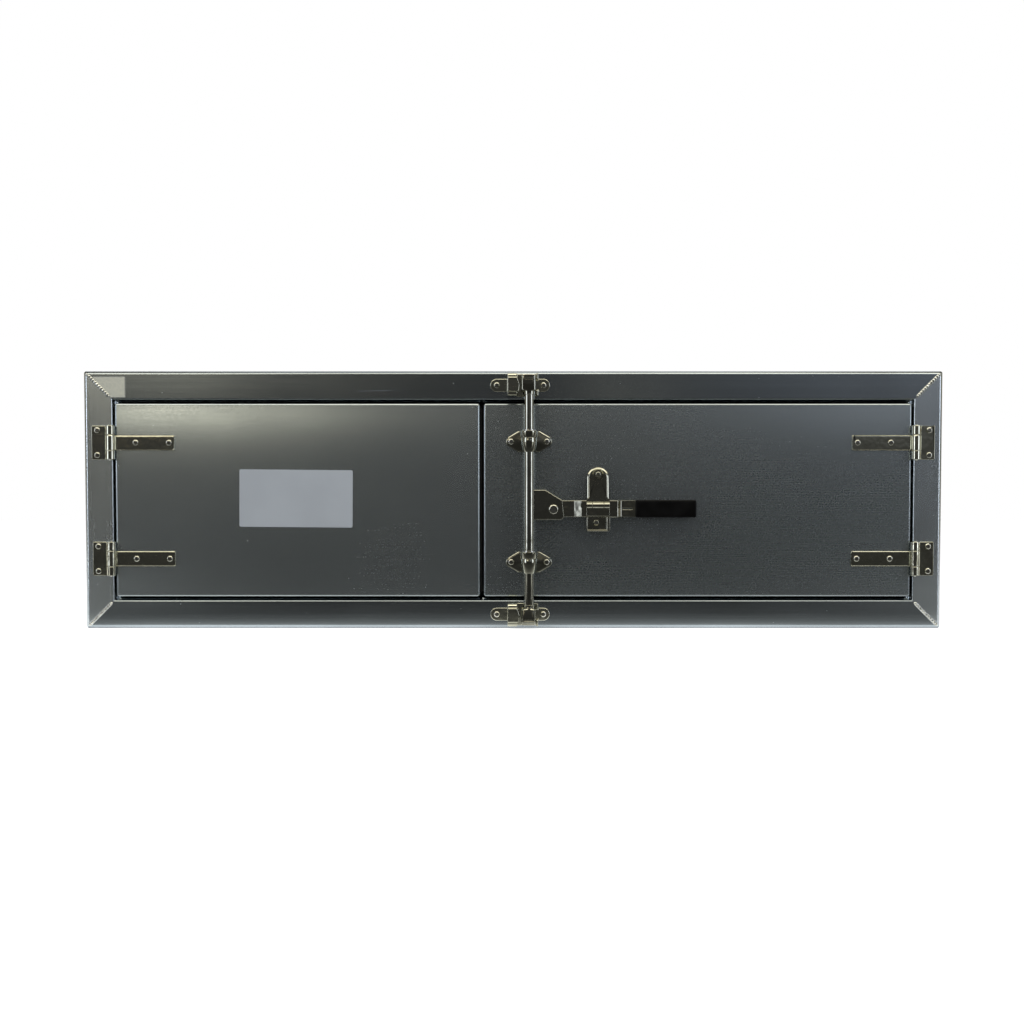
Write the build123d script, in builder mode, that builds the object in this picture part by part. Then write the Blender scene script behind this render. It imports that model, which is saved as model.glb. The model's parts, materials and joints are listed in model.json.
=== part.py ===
from build123d import *

import os

# Aluminium tool box for a truck or trailer: a welded frame of four mitred rails, a folded shell behind
# it, two doors hinged at the sides, and one rod lock with a folding handle on the right door.
# Millimetres, +Z up. The front faces -Y and the origin is the centre of the bottom face.
# "Ahead" is a distance in front of the frame's face, so a place behind that face has a negative one.

# Cabinet
width = 1524.0
height = 457.2
depth = 457.2
rail_face = 50.8
rail_depth = 38.1
rail_wall = 3.2
rail_outer_round = 5.0
rail_inner_round = 3.0
corner_cut = 3.5
stop_reach = 15.0
stop_sheet = 3.0
stop_setback = 28.0
weld_width = 7.0
weld_height = 1.4
weld_round = 1.1
shell_sheet = 2.5
shell_bend = 6.0
panel_corner_air = 1.0
seal_width = 7.0
seal_inset = 6.5
seal_air = 0.3

# Doors
door_depth = 25.4
door_sheet = 2.0
liner_sheet = 1.5
door_corner = 5.0
door_edge_round = 4.0
door_side_gap = 3.2
door_end_gap = 5.6
meeting_gap = 6.4
meeting_x = -56.0
meeting_seal_reach = 4.5
meeting_seal_depth = 12.0
meeting_seal_setback = 7.0
meeting_seal_end = 8.0
stiffener_width = 40.0
stiffener_sheet = 1.5
stiffener_end_air = 1.0
stiffener_edge_inset = 152.2
stiffener_strap_air = 5.0
label_width = 201.5
label_height = 102.0
label_sheet = 0.4
label_corner = 3.0
label_hinge_inset = 327.6
label_rise = 3.0
label_tilt = -0.5

# Bolts with button heads
head_radius = 5.35
head_height = 3.2
head_round = 2.2
socket_radius = 2.2
socket_depth = 1.5
shank_radius = 3.0
shank_air = 0.1
shank_tail = 3.0

# Hinges
upper_hinge_inset = 126.7
lower_hinge_inset = 124.5
hinge_reach = 2.8
hinge_sheet = 3.2
hinge_air = 0.3
knuckle_radius = 8.5
knuckle_air = 0.3
knuckle_side_air = 1.0
pin_radius = 4.0
pin_show = 1.2
pin_chamfer = 0.8
running_air = 0.05
leaf_height = 60.0
leaf_width = 34.4
leaf_corner = 2.0
leaf_bolt_inset = 10.4
leaf_bolt_pitch = 44.0
strap_width = 27.5
strap_length = 113.0
strap_corner = 2.5
strap_bevel = 1.2
strap_bolt_reach = 44.0
strap_bolt_end = 10.0

# Rod and its cams
rod_x = 28.0
rod_ahead = 24.0
rod_radius = 9.525
cam_hub_radius = 10.5
cam_height = 36.0
cam_chamfer = 1.5
lobe_height = 25.0
lobe_reach = 13.0
lobe_radius = 4.5
lobe_angle = 150.0

# Keepers on the top and bottom rails
keeper_height = 40.0
keeper_reach = 38.0
keeper_width = 54.3
keeper_base = 3.0
keeper_bolt_reach = 57.2
keeper_bolt_pitch = 82.6
ear_height = 23.0
jaw_width = 17.0
jaw_ahead = 30.0
jaw_round = 5.0
lip_height = 24.8
lip_width = 21.2
lip_ahead = 36.0
lip_point = 4.5
lip_slant = 2.0
side_jaw_width = 4.3
side_jaw_height = 11.0
side_jaw_ahead = 22.0
side_jaw_round = 1.5

# Rod guides on the right door
upper_guide_inset = 124.8
lower_guide_inset = 118.5
guide_base = 4.0
guide_top_width = 38.0
guide_height = 37.0
guide_bolt_pitch = 63.0
guide_end_radius = 9.5
saddle_width = 31.0
saddle_height = 27.0
saddle_round = 3.0
bushing_radius = 11.8
bushing_height = 38.0
bushing_rim_radius = 13.2
bushing_rim_height = 4.0
bushing_air = 0.05

# Handle hub, a folded plate welded to the rod, and its pivot rivet
pivot_reach = 43.0
pivot_drop = 16.1
hub_sheet = 3.5
hub_web = 17.0
hub_length = 61.7
hub_drop = 18.3
hub_rise = 34.2
hub_shoulder = 28.8
hub_tip_rise = 15.9
hub_tip_back = 3.4
hub_toe = 4.5
hub_air = 0.3
rivet_radius = 5.0
rivet_head_radius = 8.5
rivet_head_height = 3.0
rivet_head_round = 2.6

# Handle bar, joggled back toward the door behind the hasp, and its grip
bar_height = 29.0
bar_sheet = 5.0
bar_rise = 1.0
joggle_depth = 6.0
joggle_one_length = 14.5
joggle_one_air = 7.8
joggle_two_length = 6.2
joggle_two_air = 14.2
joggle_round = 4.0
bar_end_flat = 0.5
bar_slot_air = 1.8
bar_slot_length = 17.0
bar_slot_width = 2.6
grip_air = 5.8
grip_length = 108.0
grip_cap = 5.3
grip_height = 31.0
grip_thickness = 13.0
grip_round = 3.0

# Hasp: a leaf on the bar, and a flap whose hole drops over the padlock post
hasp_reach = 121.8
hasp_rise = 7.2
hasp_leaf_sheet = 2.5
hasp_leaf_width = 41.0
hasp_leaf_bottom = 18.5
hasp_knuckle_radius = 6.0
hasp_knuckle_width = 20.0
hasp_knuckle_air = 0.3
hasp_pin_radius = 2.5
flap_lean = 10.5
flap_sheet = 2.5
flap_width = 38.0
flap_flare_width = 42.0
flap_flare_height = 7.0
flap_height = 68.0
flap_rim_width = 3.2
flap_rim_height = 1.5
flap_hole_radius = 8.5
flap_hole_rise = 54.3
post_radius = 5.0
post_ahead = 25.0
post_round = 2.0
post_flange_radius = 8.0
post_flange_height = 2.0
post_eye_radius = 2.4
post_eye_inset = 4.4

# Retainer: a plate on the door behind the hasp, with two walls that the bar rests above
retainer_reach = 101.5
retainer_width = 41.9
retainer_drop = 46.7
retainer_height = 113.0
retainer_sheet = 3.0
retainer_corner = 5.0
retainer_neck_width = 31.0
cradle_height = 25.7
cradle_ahead = 19.0
cradle_left_wall = 2.6
cradle_right_wall = 5.0
cradle_floor = 3.0
retainer_bolt_inset = 18.2
retainer_bolt_rise = 15.5
retainer_bolt_pitch = 58.5

# Slide bolts inside the left door, drawn back at rest
slide_edge_inset = 18.8
slide_setback = 37.0
slide_radius = 4.0
slide_travel = 16.0
slide_tip_air = 2.0
slide_tail = 6.0
slide_knob_radius = 4.0
slide_knob_length = 16.0
slide_knob_air = 2.0
guide_block_width = 16.0
guide_block_length = 12.0
guide_block_inset = 4.0
housing_width = 26.0
housing_sheet = 2.0
housing_wall = 3.5

# Cuts run this far past the face that they leave
overrun = 2.0

# Places that follow from the sizes above
face_y = -depth / 2
shell_front = face_y + rail_depth
door_height = height - 2 * rail_face - 2 * door_end_gap
door_bottom = rail_face + door_end_gap
door_outer_x = width / 2 - rail_face - door_side_gap
pan_depth = door_depth - liner_sheet
hinge_x = width / 2 - rail_face + hinge_reach
hinge_ahead = knuckle_radius + hinge_air
leaf_bolt_x = hinge_x + leaf_width - leaf_bolt_inset
strap_bolt_xs = (hinge_x - strap_bolt_reach, hinge_x - strap_length + strap_bolt_end)
hinge_zs = (lower_hinge_inset, height - upper_hinge_inset)
rail_mid_zs = (rail_face / 2, height - rail_face / 2)
guide_zs = (lower_guide_inset, height - upper_guide_inset)
left_door_edge = meeting_x - meeting_gap / 2
right_door_edge = meeting_x + meeting_gap / 2
keeper_left = rod_x - keeper_reach
keeper_right = keeper_left + keeper_width
keeper_bolt_xs = (rod_x - keeper_bolt_reach, rod_x - keeper_bolt_reach + keeper_bolt_pitch)
pivot_x = rod_x + pivot_reach
pivot_z = height / 2 - pivot_drop
bar_z = pivot_z + bar_rise
hasp_x = rod_x + hasp_reach
joggle_one_end = hasp_x - hasp_leaf_width / 2 - joggle_one_air
joggle_two_start = hasp_x + hasp_leaf_width / 2 + joggle_two_air
joggle_two_end = joggle_two_start + joggle_two_length
bar_slot_x = joggle_two_end + bar_slot_air + bar_slot_length / 2
grip_start = bar_slot_x + bar_slot_length / 2 + grip_air
grip_end = grip_start + grip_length
bar_end = grip_end - grip_cap
hasp_z = pivot_z + hasp_rise
flap_hole_z = hasp_z + flap_hole_rise
retainer_left = rod_x + retainer_reach
retainer_bottom = hasp_z - retainer_drop
retainer_bolt_x = retainer_left + retainer_bolt_inset
retainer_bolt_zs = (
    retainer_bottom + retainer_bolt_rise,
    retainer_bottom + retainer_bolt_rise + retainer_bolt_pitch,
)
slide_x = left_door_edge - slide_edge_inset
bar_back_ahead = rod_ahead - joggle_depth
hasp_ahead = bar_back_ahead + bar_sheet / 2 + hasp_knuckle_radius + hinge_air
slide_knob_place = guide_block_inset + guide_block_length + slide_travel + slide_knob_air + slide_knob_radius
far_block_place = slide_knob_place + slide_knob_radius + slide_knob_air
slide_length = far_block_place + guide_block_length + slide_tail

os.makedirs("parts", exist_ok=True)


def ahead(distance):
    """Plane parallel to the front, a distance in front of the frame's face: x is X and y is Z."""
    return Plane.XZ.offset(depth / 2 + distance)


def level(z):
    """Horizontal plane at a height: x is X and y is Y."""
    return Plane.XY.offset(z)


def ahead_y(distance):
    """Y of a place that is a distance in front of the frame's face."""
    return face_y - distance


def save(piece, name):
    """Label a finished piece and write its file."""
    piece.part.label = name
    export_step(piece.part, f"parts/{name}.step")


def trim_corners():
    """Take the sharp corners off the cabinet's outline, in the part that is being built."""
    for side in (-1, 1):
        for end in (-1, 1):
            corner = Vector(side * (width - corner_cut) / 2, 0, height / 2 + end * (height - corner_cut) / 2)
            split(bisect_by=Plane(origin=corner, z_dir=Vector(-side, 0, -end)), keep=Keep.TOP)


def bolt_holes(places, seat):
    """Drill clearance holes through a plate that stands on a face, and through the sheet behind it."""
    with BuildSketch(ahead(seat)) as holes:
        with Locations(*places):
            Circle(shank_radius + shank_air)
    extrude(holes.sketch, amount=-(seat + rail_wall + overrun), mode=Mode.SUBTRACT)


# Frame

leaf_bolt_places = [
    (side * leaf_bolt_x, z + step * leaf_bolt_pitch / 2)
    for side in (-1, 1)
    for z in hinge_zs
    for step in (-1, 1)
]
keeper_bolt_places = [(x, z) for z in rail_mid_zs for x in keeper_bolt_xs]


def mitre(start, along, inward, length):
    """Cut both ends of a rail or stop at 45 degrees, in the part that is being built."""
    for end, away in ((start, along), (start + along * length, -along)):
        split(bisect_by=Plane(origin=end, x_dir=along.cross(inward), z_dir=away - inward), keep=Keep.TOP)


def make_rail(name, start, along, inward, length, bolt_places):
    """One hollow rail and the door stop on its inner side, mitred. start is the rail's outer front corner."""
    with BuildPart() as rail:
        with BuildSketch(Plane(origin=start, x_dir=inward, z_dir=along)) as profile:
            Rectangle(rail_face, rail_depth, align=(Align.MIN, Align.MAX))
            fillet(profile.vertices().group_by(Axis.Y)[-1].sort_by(Axis.X)[0], rail_outer_round)
            fillet(profile.vertices().group_by(Axis.Y)[-1].sort_by(Axis.X)[-1], rail_inner_round)
            with Locations((rail_wall, -rail_wall)):
                Rectangle(
                    rail_face - 2 * rail_wall,
                    rail_depth - 2 * rail_wall,
                    align=(Align.MIN, Align.MAX),
                    mode=Mode.SUBTRACT,
                )
        extrude(amount=length)
        mitre(start, along, inward, length)
        trim_corners()
        bolt_holes(bolt_places, 0)
    save(rail, name)

    with BuildPart() as door_stop:
        with BuildSketch(Plane(origin=start, x_dir=inward, z_dir=along)):
            with Locations((rail_face, -stop_setback)):
                Rectangle(stop_reach, stop_sheet, align=(Align.MIN, Align.MAX))
        extrude(amount=length)
        mitre(start, along, inward, length)
    save(door_stop, f"{name}_stop")


right = Vector(1, 0, 0)
up = Vector(0, 0, 1)
low_left = Vector(-width / 2, face_y, 0)
low_right = Vector(width / 2, face_y, 0)
high_left = Vector(-width / 2, face_y, height)
high_right = Vector(width / 2, face_y, height)
make_rail("bottom_rail", low_left, right, up, width, [p for p in keeper_bolt_places if p[1] < height / 2])
make_rail("top_rail", high_right, -right, -up, width, [p for p in keeper_bolt_places if p[1] > height / 2])
make_rail("left_stile", high_left, -up, right, height, [p for p in leaf_bolt_places if p[0] < 0])
make_rail("right_stile", low_right, up, -right, height, [p for p in leaf_bolt_places if p[0] > 0])

# Weld beads on the four mitres
with BuildPart() as corner_welds:
    bead_length = (rail_face - rail_outer_round - rail_inner_round) * 2**0.5
    with BuildSketch(ahead(0)):
        for side in (-1, 1):
            for end in (-1, 1):
                with Locations((side * (width - rail_face) / 2, height / 2 + end * (height - rail_face) / 2)):
                    SlotOverall(bead_length, weld_width, rotation=45 * side * end)
    extrude(amount=weld_height)
    fillet(corner_welds.edges().group_by(Axis.Y)[0], weld_round)
save(corner_welds, "corner_welds")

# Shell: one sheet folded round the bottom, back and top, and a panel in each end
with BuildPart() as shell_wrap:
    with BuildSketch(Plane.YZ):
        with BuildLine():
            FilletPolyline(
                (shell_front, 0),
                (depth / 2, 0),
                (depth / 2, height),
                (shell_front, height),
                radius=shell_bend,
            )
            offset(amount=shell_sheet, side=Side.LEFT)
        make_face()
    extrude(amount=width / 2, both=True)
    trim_corners()
save(shell_wrap, "shell_wrap")

for name, side in (("left_end_panel", -1), ("right_end_panel", 1)):
    with BuildPart() as end_panel:
        with BuildSketch(Plane.YZ.offset(side * width / 2)) as outline:
            with Locations(((shell_front + depth / 2 - shell_sheet) / 2, height / 2)):
                Rectangle(depth / 2 - shell_sheet - shell_front, height - 2 * shell_sheet)
            back_corners = outline.vertices().group_by(Axis.X)[-1]
            fillet(back_corners, shell_bend - shell_sheet + panel_corner_air)
        extrude(amount=-side * shell_sheet)
        trim_corners()
    save(end_panel, name)

# Door seal: four strips on the stops, just clear of the closed doors
with BuildPart() as door_seal:
    seal_margin = rail_face + seal_inset
    with BuildSketch(ahead(-stop_setback)):
        for end in (-1, 1):
            with Locations((0, height / 2 + end * (height / 2 - seal_margin - seal_width / 2))):
                Rectangle(width - 2 * seal_margin, seal_width)
        for side in (-1, 1):
            with Locations((side * (width / 2 - seal_margin - seal_width / 2), height / 2)):
                Rectangle(seal_width, height - 2 * seal_margin - 2 * seal_width)
    extrude(amount=stop_setback - door_depth - seal_air)
save(door_seal, "door_seal")

# Doors

strap_bolt_places = {
    side: [(side * x, z) for z in hinge_zs for x in strap_bolt_xs] for side in (-1, 1)
}
guide_bolt_places = [(rod_x + side * guide_bolt_pitch / 2, z) for z in guide_zs for side in (-1, 1)]
retainer_bolt_places = [(retainer_bolt_x, z) for z in retainer_bolt_zs]


def make_door(name, side, edge_x, bolt_places):
    """One door: a pan with rounded edges, a liner that closes its back, and two stiffeners inside."""
    door_width = door_outer_x - side * edge_x
    centre = (side * (door_outer_x + side * edge_x) / 2, height / 2)
    strap_end_x = hinge_x - strap_length
    stiffener_xs = (
        edge_x + side * stiffener_edge_inset,
        side * (strap_end_x - stiffener_strap_air - stiffener_width / 2),
    )
    with BuildPart() as skin:
        with BuildSketch(ahead(-pan_depth)):
            with Locations(centre):
                RectangleRounded(door_width, door_height, door_corner)
        extrude(amount=pan_depth)
        fillet(skin.edges().group_by(Axis.Y)[0], door_edge_round)
        with BuildSketch(ahead(-pan_depth)):
            with Locations(centre):
                inner_corner = door_corner - door_sheet
                RectangleRounded(door_width - 2 * door_sheet, door_height - 2 * door_sheet, inner_corner)
        extrude(amount=pan_depth - door_sheet, mode=Mode.SUBTRACT)
        bolt_holes(bolt_places, 0)
    save(skin, f"{name}_door_skin")

    with BuildPart() as liner:
        with BuildSketch(ahead(-door_depth)):
            with Locations(centre):
                RectangleRounded(door_width, door_height, door_corner)
        extrude(amount=liner_sheet)
    save(liner, f"{name}_door_liner")

    with BuildPart() as stiffeners:
        hollow = pan_depth - door_sheet
        with BuildSketch(level(door_bottom + door_sheet + stiffener_end_air)):
            with Locations(*[(x, ahead_y(-door_sheet - hollow / 2)) for x in stiffener_xs]):
                Rectangle(stiffener_width, hollow)
                Rectangle(
                    stiffener_width - 2 * stiffener_sheet,
                    hollow - 2 * stiffener_sheet,
                    mode=Mode.SUBTRACT,
                )
        extrude(amount=door_height - 2 * door_sheet - 2 * stiffener_end_air)
    save(stiffeners, f"{name}_door_stiffeners")


make_door("left", -1, left_door_edge, strap_bolt_places[-1])
make_door("right", 1, right_door_edge, strap_bolt_places[1] + guide_bolt_places + retainer_bolt_places)

with BuildPart() as meeting_seal:
    with BuildSketch(Plane.YZ.offset(left_door_edge)):
        with Locations((ahead_y(-meeting_seal_setback - meeting_seal_depth / 2), height / 2)):
            Rectangle(meeting_seal_depth, door_height - 2 * meeting_seal_end)
    extrude(amount=meeting_seal_reach)
    fillet(meeting_seal.faces().sort_by(Axis.X)[-1].edges().filter_by(Axis.Z), meeting_seal_reach / 2)
save(meeting_seal, "meeting_seal")

with BuildPart() as blank_label:
    with BuildSketch(ahead(0)):
        with Locations((label_hinge_inset - hinge_x, height / 2 + label_rise)):
            RectangleRounded(label_width, label_height, label_corner, rotation=label_tilt)
    extrude(amount=label_sheet)
save(blank_label, "blank_label")


# Hinges


def barrel_relief(x, z, length):
    """Cut the air under a hinge barrel, so that its knuckles clear the face behind them."""
    with BuildSketch(ahead(0)) as gap:
        with Locations((x, z)):
            Rectangle(2 * (knuckle_radius + knuckle_side_air), length)
    extrude(gap.sketch, amount=hinge_air, mode=Mode.SUBTRACT)


def barrel(x, z, length, bore_radius):
    """Add a hinge barrel with its bore, centred at a height."""
    with BuildSketch(level(z - length / 2)) as round_bar:
        with Locations((x, ahead_y(hinge_ahead))):
            Circle(knuckle_radius)
    extrude(round_bar.sketch, amount=length)
    with BuildSketch(level(z - length / 2)) as bore:
        with Locations((x, ahead_y(hinge_ahead))):
            Circle(bore_radius)
    extrude(bore.sketch, amount=length, mode=Mode.SUBTRACT)


def make_hinge(name, side, z):
    """One strap hinge: a leaf on the stile, a strap on the door and the pin between them."""
    axis_x = side * hinge_x
    outward = Axis((0, 0, 0), (side, 0, 0))
    with BuildPart() as leaf:
        with BuildSketch(ahead(0)) as plate:
            with Locations((axis_x + side * leaf_width / 2, z)):
                Rectangle(leaf_width, leaf_height)
            fillet(plate.vertices().sort_by(outward)[-2:], leaf_corner)
        extrude(amount=hinge_sheet)
        barrel(axis_x, z, leaf_height, pin_radius)
        barrel_relief(axis_x, z, leaf_height)
        with BuildSketch(ahead(0)):
            with Locations((axis_x, z)):
                Rectangle(2 * (knuckle_radius + knuckle_side_air), strap_width + 2 * knuckle_air)
        extrude(amount=hinge_ahead + knuckle_radius + overrun, mode=Mode.SUBTRACT)
        bolt_holes([(side * leaf_bolt_x, z + step * leaf_bolt_pitch / 2) for step in (-1, 1)], hinge_sheet)
    save(leaf, f"{name}_hinge_leaf")

    with BuildPart() as strap:
        with BuildSketch(ahead(0)) as plate:
            with Locations((axis_x - side * strap_length / 2, z)):
                Rectangle(strap_length, strap_width)
            fillet(plate.vertices().sort_by(outward)[:2], strap_corner)
        extrude(amount=hinge_sheet)
        chamfer(strap.edges().group_by(Axis.Y)[0], strap_bevel)
        barrel(axis_x, z, strap_width, pin_radius + running_air)
        barrel_relief(axis_x, z, strap_width)
        bolt_holes([(side * x, z) for x in strap_bolt_xs], hinge_sheet)
    save(strap, f"{name}_hinge_strap")

    with BuildPart() as pin:
        with BuildSketch(level(z - leaf_height / 2 - pin_show)):
            with Locations((axis_x, ahead_y(hinge_ahead))):
                Circle(pin_radius)
        extrude(amount=leaf_height + 2 * pin_show)
        chamfer(pin.edges().filter_by(GeomType.CIRCLE), pin_chamfer)
    save(pin, f"{name}_hinge_pin")


for side_name, side in (("left", -1), ("right", 1)):
    for end_name, z in zip(("lower", "upper"), hinge_zs):
        make_hinge(f"{side_name}_{end_name}", side, z)


# Bolts


def make_bolts(name, places, seat, sheet):
    """Button-head bolts: domed heads with hex sockets, and shanks that pass through the sheet behind."""
    with BuildPart() as bolts:
        with BuildSketch(ahead(seat)):
            with Locations(*places):
                Circle(head_radius)
        extrude(amount=head_height)
        fillet(bolts.edges().group_by(Axis.Y)[0], head_round)
        with BuildSketch(ahead(seat + head_height - socket_depth)):
            with Locations(*places):
                RegularPolygon(socket_radius, 6)
        extrude(amount=socket_depth, mode=Mode.SUBTRACT)
        with BuildSketch(ahead(seat)):
            with Locations(*places):
                Circle(shank_radius)
        extrude(amount=-(seat + sheet + shank_tail))
    save(bolts, name)


make_bolts("hinge_leaf_bolts", leaf_bolt_places, hinge_sheet, rail_wall)
make_bolts("left_strap_bolts", strap_bolt_places[-1], hinge_sheet, door_sheet)
make_bolts("right_strap_bolts", strap_bolt_places[1], hinge_sheet, door_sheet)
make_bolts("keeper_bolts", keeper_bolt_places, keeper_base, rail_wall)
make_bolts("guide_bolts", guide_bolt_places, guide_base, door_sheet)
make_bolts("retainer_bolts", retainer_bolt_places, retainer_sheet, door_sheet)

# Keepers: a base with two ears, a hooked jaw on the left and two small jaws on the right
for name, z in zip(("bottom_keeper", "top_keeper"), rail_mid_zs):
    with BuildPart() as keeper:
        with BuildSketch(ahead(0)):
            with Locations((sum(keeper_bolt_xs) / 2, z)):
                SlotCenterToCenter(keeper_bolt_pitch, ear_height)
            with Locations((keeper_left + keeper_width / 2, z)):
                Rectangle(keeper_width, keeper_height)
        extrude(amount=keeper_base)
        with BuildSketch(ahead(0)):
            with Locations((keeper_left + jaw_width / 2, z)):
                Rectangle(jaw_width, keeper_height)
        extrude(amount=jaw_ahead)
        fillet(keeper.edges().group_by(Axis.Y)[0].filter_by(Axis.X), jaw_round)
        with BuildSketch(ahead(jaw_ahead)):
            lip_right = keeper_left + lip_width
            with BuildLine():
                Polyline(
                    (keeper_left, z - lip_height / 2),
                    (lip_right - lip_slant, z - lip_height / 2),
                    (lip_right, z),
                    (lip_right - lip_point, z + lip_height / 2),
                    (keeper_left, z + lip_height / 2),
                    close=True,
                )
            make_face()
        extrude(amount=lip_ahead - jaw_ahead)
        with BuildSketch(ahead(0)):
            with Locations((keeper_right - side_jaw_width / 2, z)):
                with GridLocations(0, keeper_height - side_jaw_height, 1, 2):
                    Rectangle(side_jaw_width, side_jaw_height)
        extrude(amount=side_jaw_ahead)
        tip_y = ahead_y(side_jaw_ahead)
        tip_edges = keeper.edges().filter_by(lambda edge: abs(edge.center().Y - tip_y) < running_air)
        fillet(tip_edges, side_jaw_round)
        bolt_holes([(x, z) for x in keeper_bolt_xs], keeper_base)
    save(keeper, name)

# Rod and its two cams, which turn inside the keepers
with BuildPart() as lock_rod:
    rod_bottom = rail_mid_zs[0] + cam_height / 2
    rod_top = rail_mid_zs[1] - cam_height / 2
    with BuildSketch(level(rod_bottom)):
        with Locations((rod_x, ahead_y(rod_ahead))):
            Circle(rod_radius)
    extrude(amount=rod_top - rod_bottom)
save(lock_rod, "lock_rod")

for name, z in zip(("bottom_cam", "top_cam"), rail_mid_zs):
    with BuildPart() as cam:
        with BuildSketch(level(z - cam_height / 2)):
            with Locations((rod_x, ahead_y(rod_ahead))):
                Circle(cam_hub_radius)
        extrude(amount=cam_height)
        chamfer(cam.edges().filter_by(GeomType.CIRCLE), cam_chamfer)
        with BuildSketch(level(z - lobe_height / 2)):
            with Locations((rod_x, ahead_y(rod_ahead))):
                Circle(cam_hub_radius)
                with PolarLocations(lobe_reach, 1, start_angle=lobe_angle):
                    Circle(lobe_radius)
            make_hull()
        extrude(amount=lobe_height)
    save(cam, name)

# Rod guides: a diamond base, a saddle round the rod and a bushing
for name, z in zip(("lower_guide", "upper_guide"), guide_zs):
    with BuildPart() as guide:
        with BuildSketch(ahead(0)):
            with Locations((rod_x, z)):
                Rectangle(guide_top_width, guide_height)
                with GridLocations(guide_bolt_pitch, 0, 2, 1):
                    Circle(guide_end_radius)
            make_hull()
        extrude(amount=guide_base)
        with BuildSketch(level(z - saddle_height / 2)):
            with Locations((rod_x, ahead_y(rod_ahead))):
                Circle(saddle_width / 2)
            with Locations((rod_x, ahead_y(rod_ahead / 2))):
                Rectangle(saddle_width, rod_ahead)
        extrude(amount=saddle_height)
        arcs = guide.edges().filter_by(GeomType.CIRCLE).group_by(Axis.Y)[0]
        fillet(arcs, saddle_round)
        with BuildSketch(level(z - saddle_height / 2)):
            with Locations((rod_x, ahead_y(rod_ahead))):
                Circle(bushing_radius)
        extrude(amount=saddle_height, mode=Mode.SUBTRACT)
        bolt_holes([(rod_x + side * guide_bolt_pitch / 2, z) for side in (-1, 1)], guide_base)
    save(guide, name)

with BuildPart() as guide_bushings:
    for z in guide_zs:
        with BuildSketch(level(z - bushing_height / 2)):
            with Locations((rod_x, ahead_y(rod_ahead))):
                Circle(bushing_radius)
        extrude(amount=bushing_height)
        for end in (-1, 1):
            with BuildSketch(level(z + end * saddle_height / 2)):
                with Locations((rod_x, ahead_y(rod_ahead))):
                    Circle(bushing_rim_radius)
            extrude(amount=end * bushing_rim_height)
        with BuildSketch(level(z - bushing_height / 2)):
            with Locations((rod_x, ahead_y(rod_ahead))):
                Circle(rod_radius + bushing_air)
        extrude(amount=bushing_height, mode=Mode.SUBTRACT)
save(guide_bushings, "guide_bushings")

# Handle hub: two cheeks and a web, welded to the side of the rod
hub_outer = bar_sheet / 2 + hub_air + hub_sheet
with BuildPart() as handle_hub:
    with BuildSketch(ahead(rod_ahead - hub_outer)):
        with BuildLine():
            Polyline(
                (rod_x, pivot_z - hub_drop),
                (rod_x + hub_length - hub_toe, pivot_z - hub_drop),
                (rod_x + hub_length, pivot_z - hub_drop + hub_toe),
                (rod_x + hub_length - hub_tip_back, pivot_z + hub_tip_rise),
                (rod_x + hub_shoulder, pivot_z + hub_rise),
                (rod_x, pivot_z + hub_rise),
                close=True,
            )
        make_face()
    extrude(amount=2 * hub_outer)
    with BuildSketch(ahead(rod_ahead - bar_sheet / 2 - hub_air)):
        with Locations((rod_x + hub_web, pivot_z - hub_drop)):
            Rectangle(hub_length, hub_drop + hub_rise, align=(Align.MIN, Align.MIN))
    extrude(amount=bar_sheet + 2 * hub_air, mode=Mode.SUBTRACT)
    with BuildSketch(level(pivot_z - hub_drop)):
        with Locations((rod_x, ahead_y(rod_ahead))):
            Circle(rod_radius)
            Rectangle(rod_radius, 2 * rod_radius, align=(Align.MAX, Align.CENTER))
    extrude(amount=hub_drop + hub_rise, mode=Mode.SUBTRACT)
    with BuildSketch(ahead(rod_ahead - hub_outer)):
        with Locations((pivot_x, pivot_z)):
            Circle(rivet_radius)
    extrude(amount=2 * hub_outer, mode=Mode.SUBTRACT)
save(handle_hub, "handle_hub")

with BuildPart() as handle_rivet:
    with BuildSketch(ahead(rod_ahead - hub_outer - rivet_head_height)):
        with Locations((pivot_x, pivot_z)):
            Circle(rivet_head_radius)
    extrude(amount=rivet_head_height)
    with BuildSketch(ahead(rod_ahead + hub_outer)):
        with Locations((pivot_x, pivot_z)):
            Circle(rivet_head_radius)
    extrude(amount=rivet_head_height)
    ends = handle_rivet.edges().group_by(Axis.Y)
    fillet(ends[0] + ends[-1], rivet_head_round)
    with BuildSketch(ahead(rod_ahead - hub_outer)):
        with Locations((pivot_x, pivot_z)):
            Circle(rivet_radius)
    extrude(amount=2 * hub_outer)
save(handle_rivet, "handle_rivet")

# Handle bar: flat bar joggled back toward the door and out again
with BuildPart() as handle_bar:
    front_y = ahead_y(rod_ahead + bar_sheet / 2)
    with BuildSketch(level(bar_z - bar_height / 2)):
        with BuildLine():
            FilletPolyline(
                (pivot_x - bar_height / 2, front_y),
                (joggle_one_end - joggle_one_length, front_y),
                (joggle_one_end, front_y + joggle_depth),
                (joggle_two_start, front_y + joggle_depth),
                (joggle_two_end, front_y),
                (bar_end, front_y),
                radius=joggle_round,
            )
            offset(amount=bar_sheet, side=Side.LEFT)
        make_face()
    extrude(amount=bar_height)
    left_edges = handle_bar.edges().filter_by(Axis.Y).group_by(Axis.X)[0]
    fillet(left_edges, bar_height / 2 - bar_end_flat)
    with BuildSketch(ahead(rod_ahead - bar_sheet / 2)):
        with Locations((pivot_x, pivot_z)):
            Circle(rivet_radius + running_air)
        with Locations((bar_slot_x, bar_z)):
            SlotOverall(bar_slot_length, bar_slot_width)
    extrude(amount=bar_sheet, mode=Mode.SUBTRACT)
save(handle_bar, "handle_bar")

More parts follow.
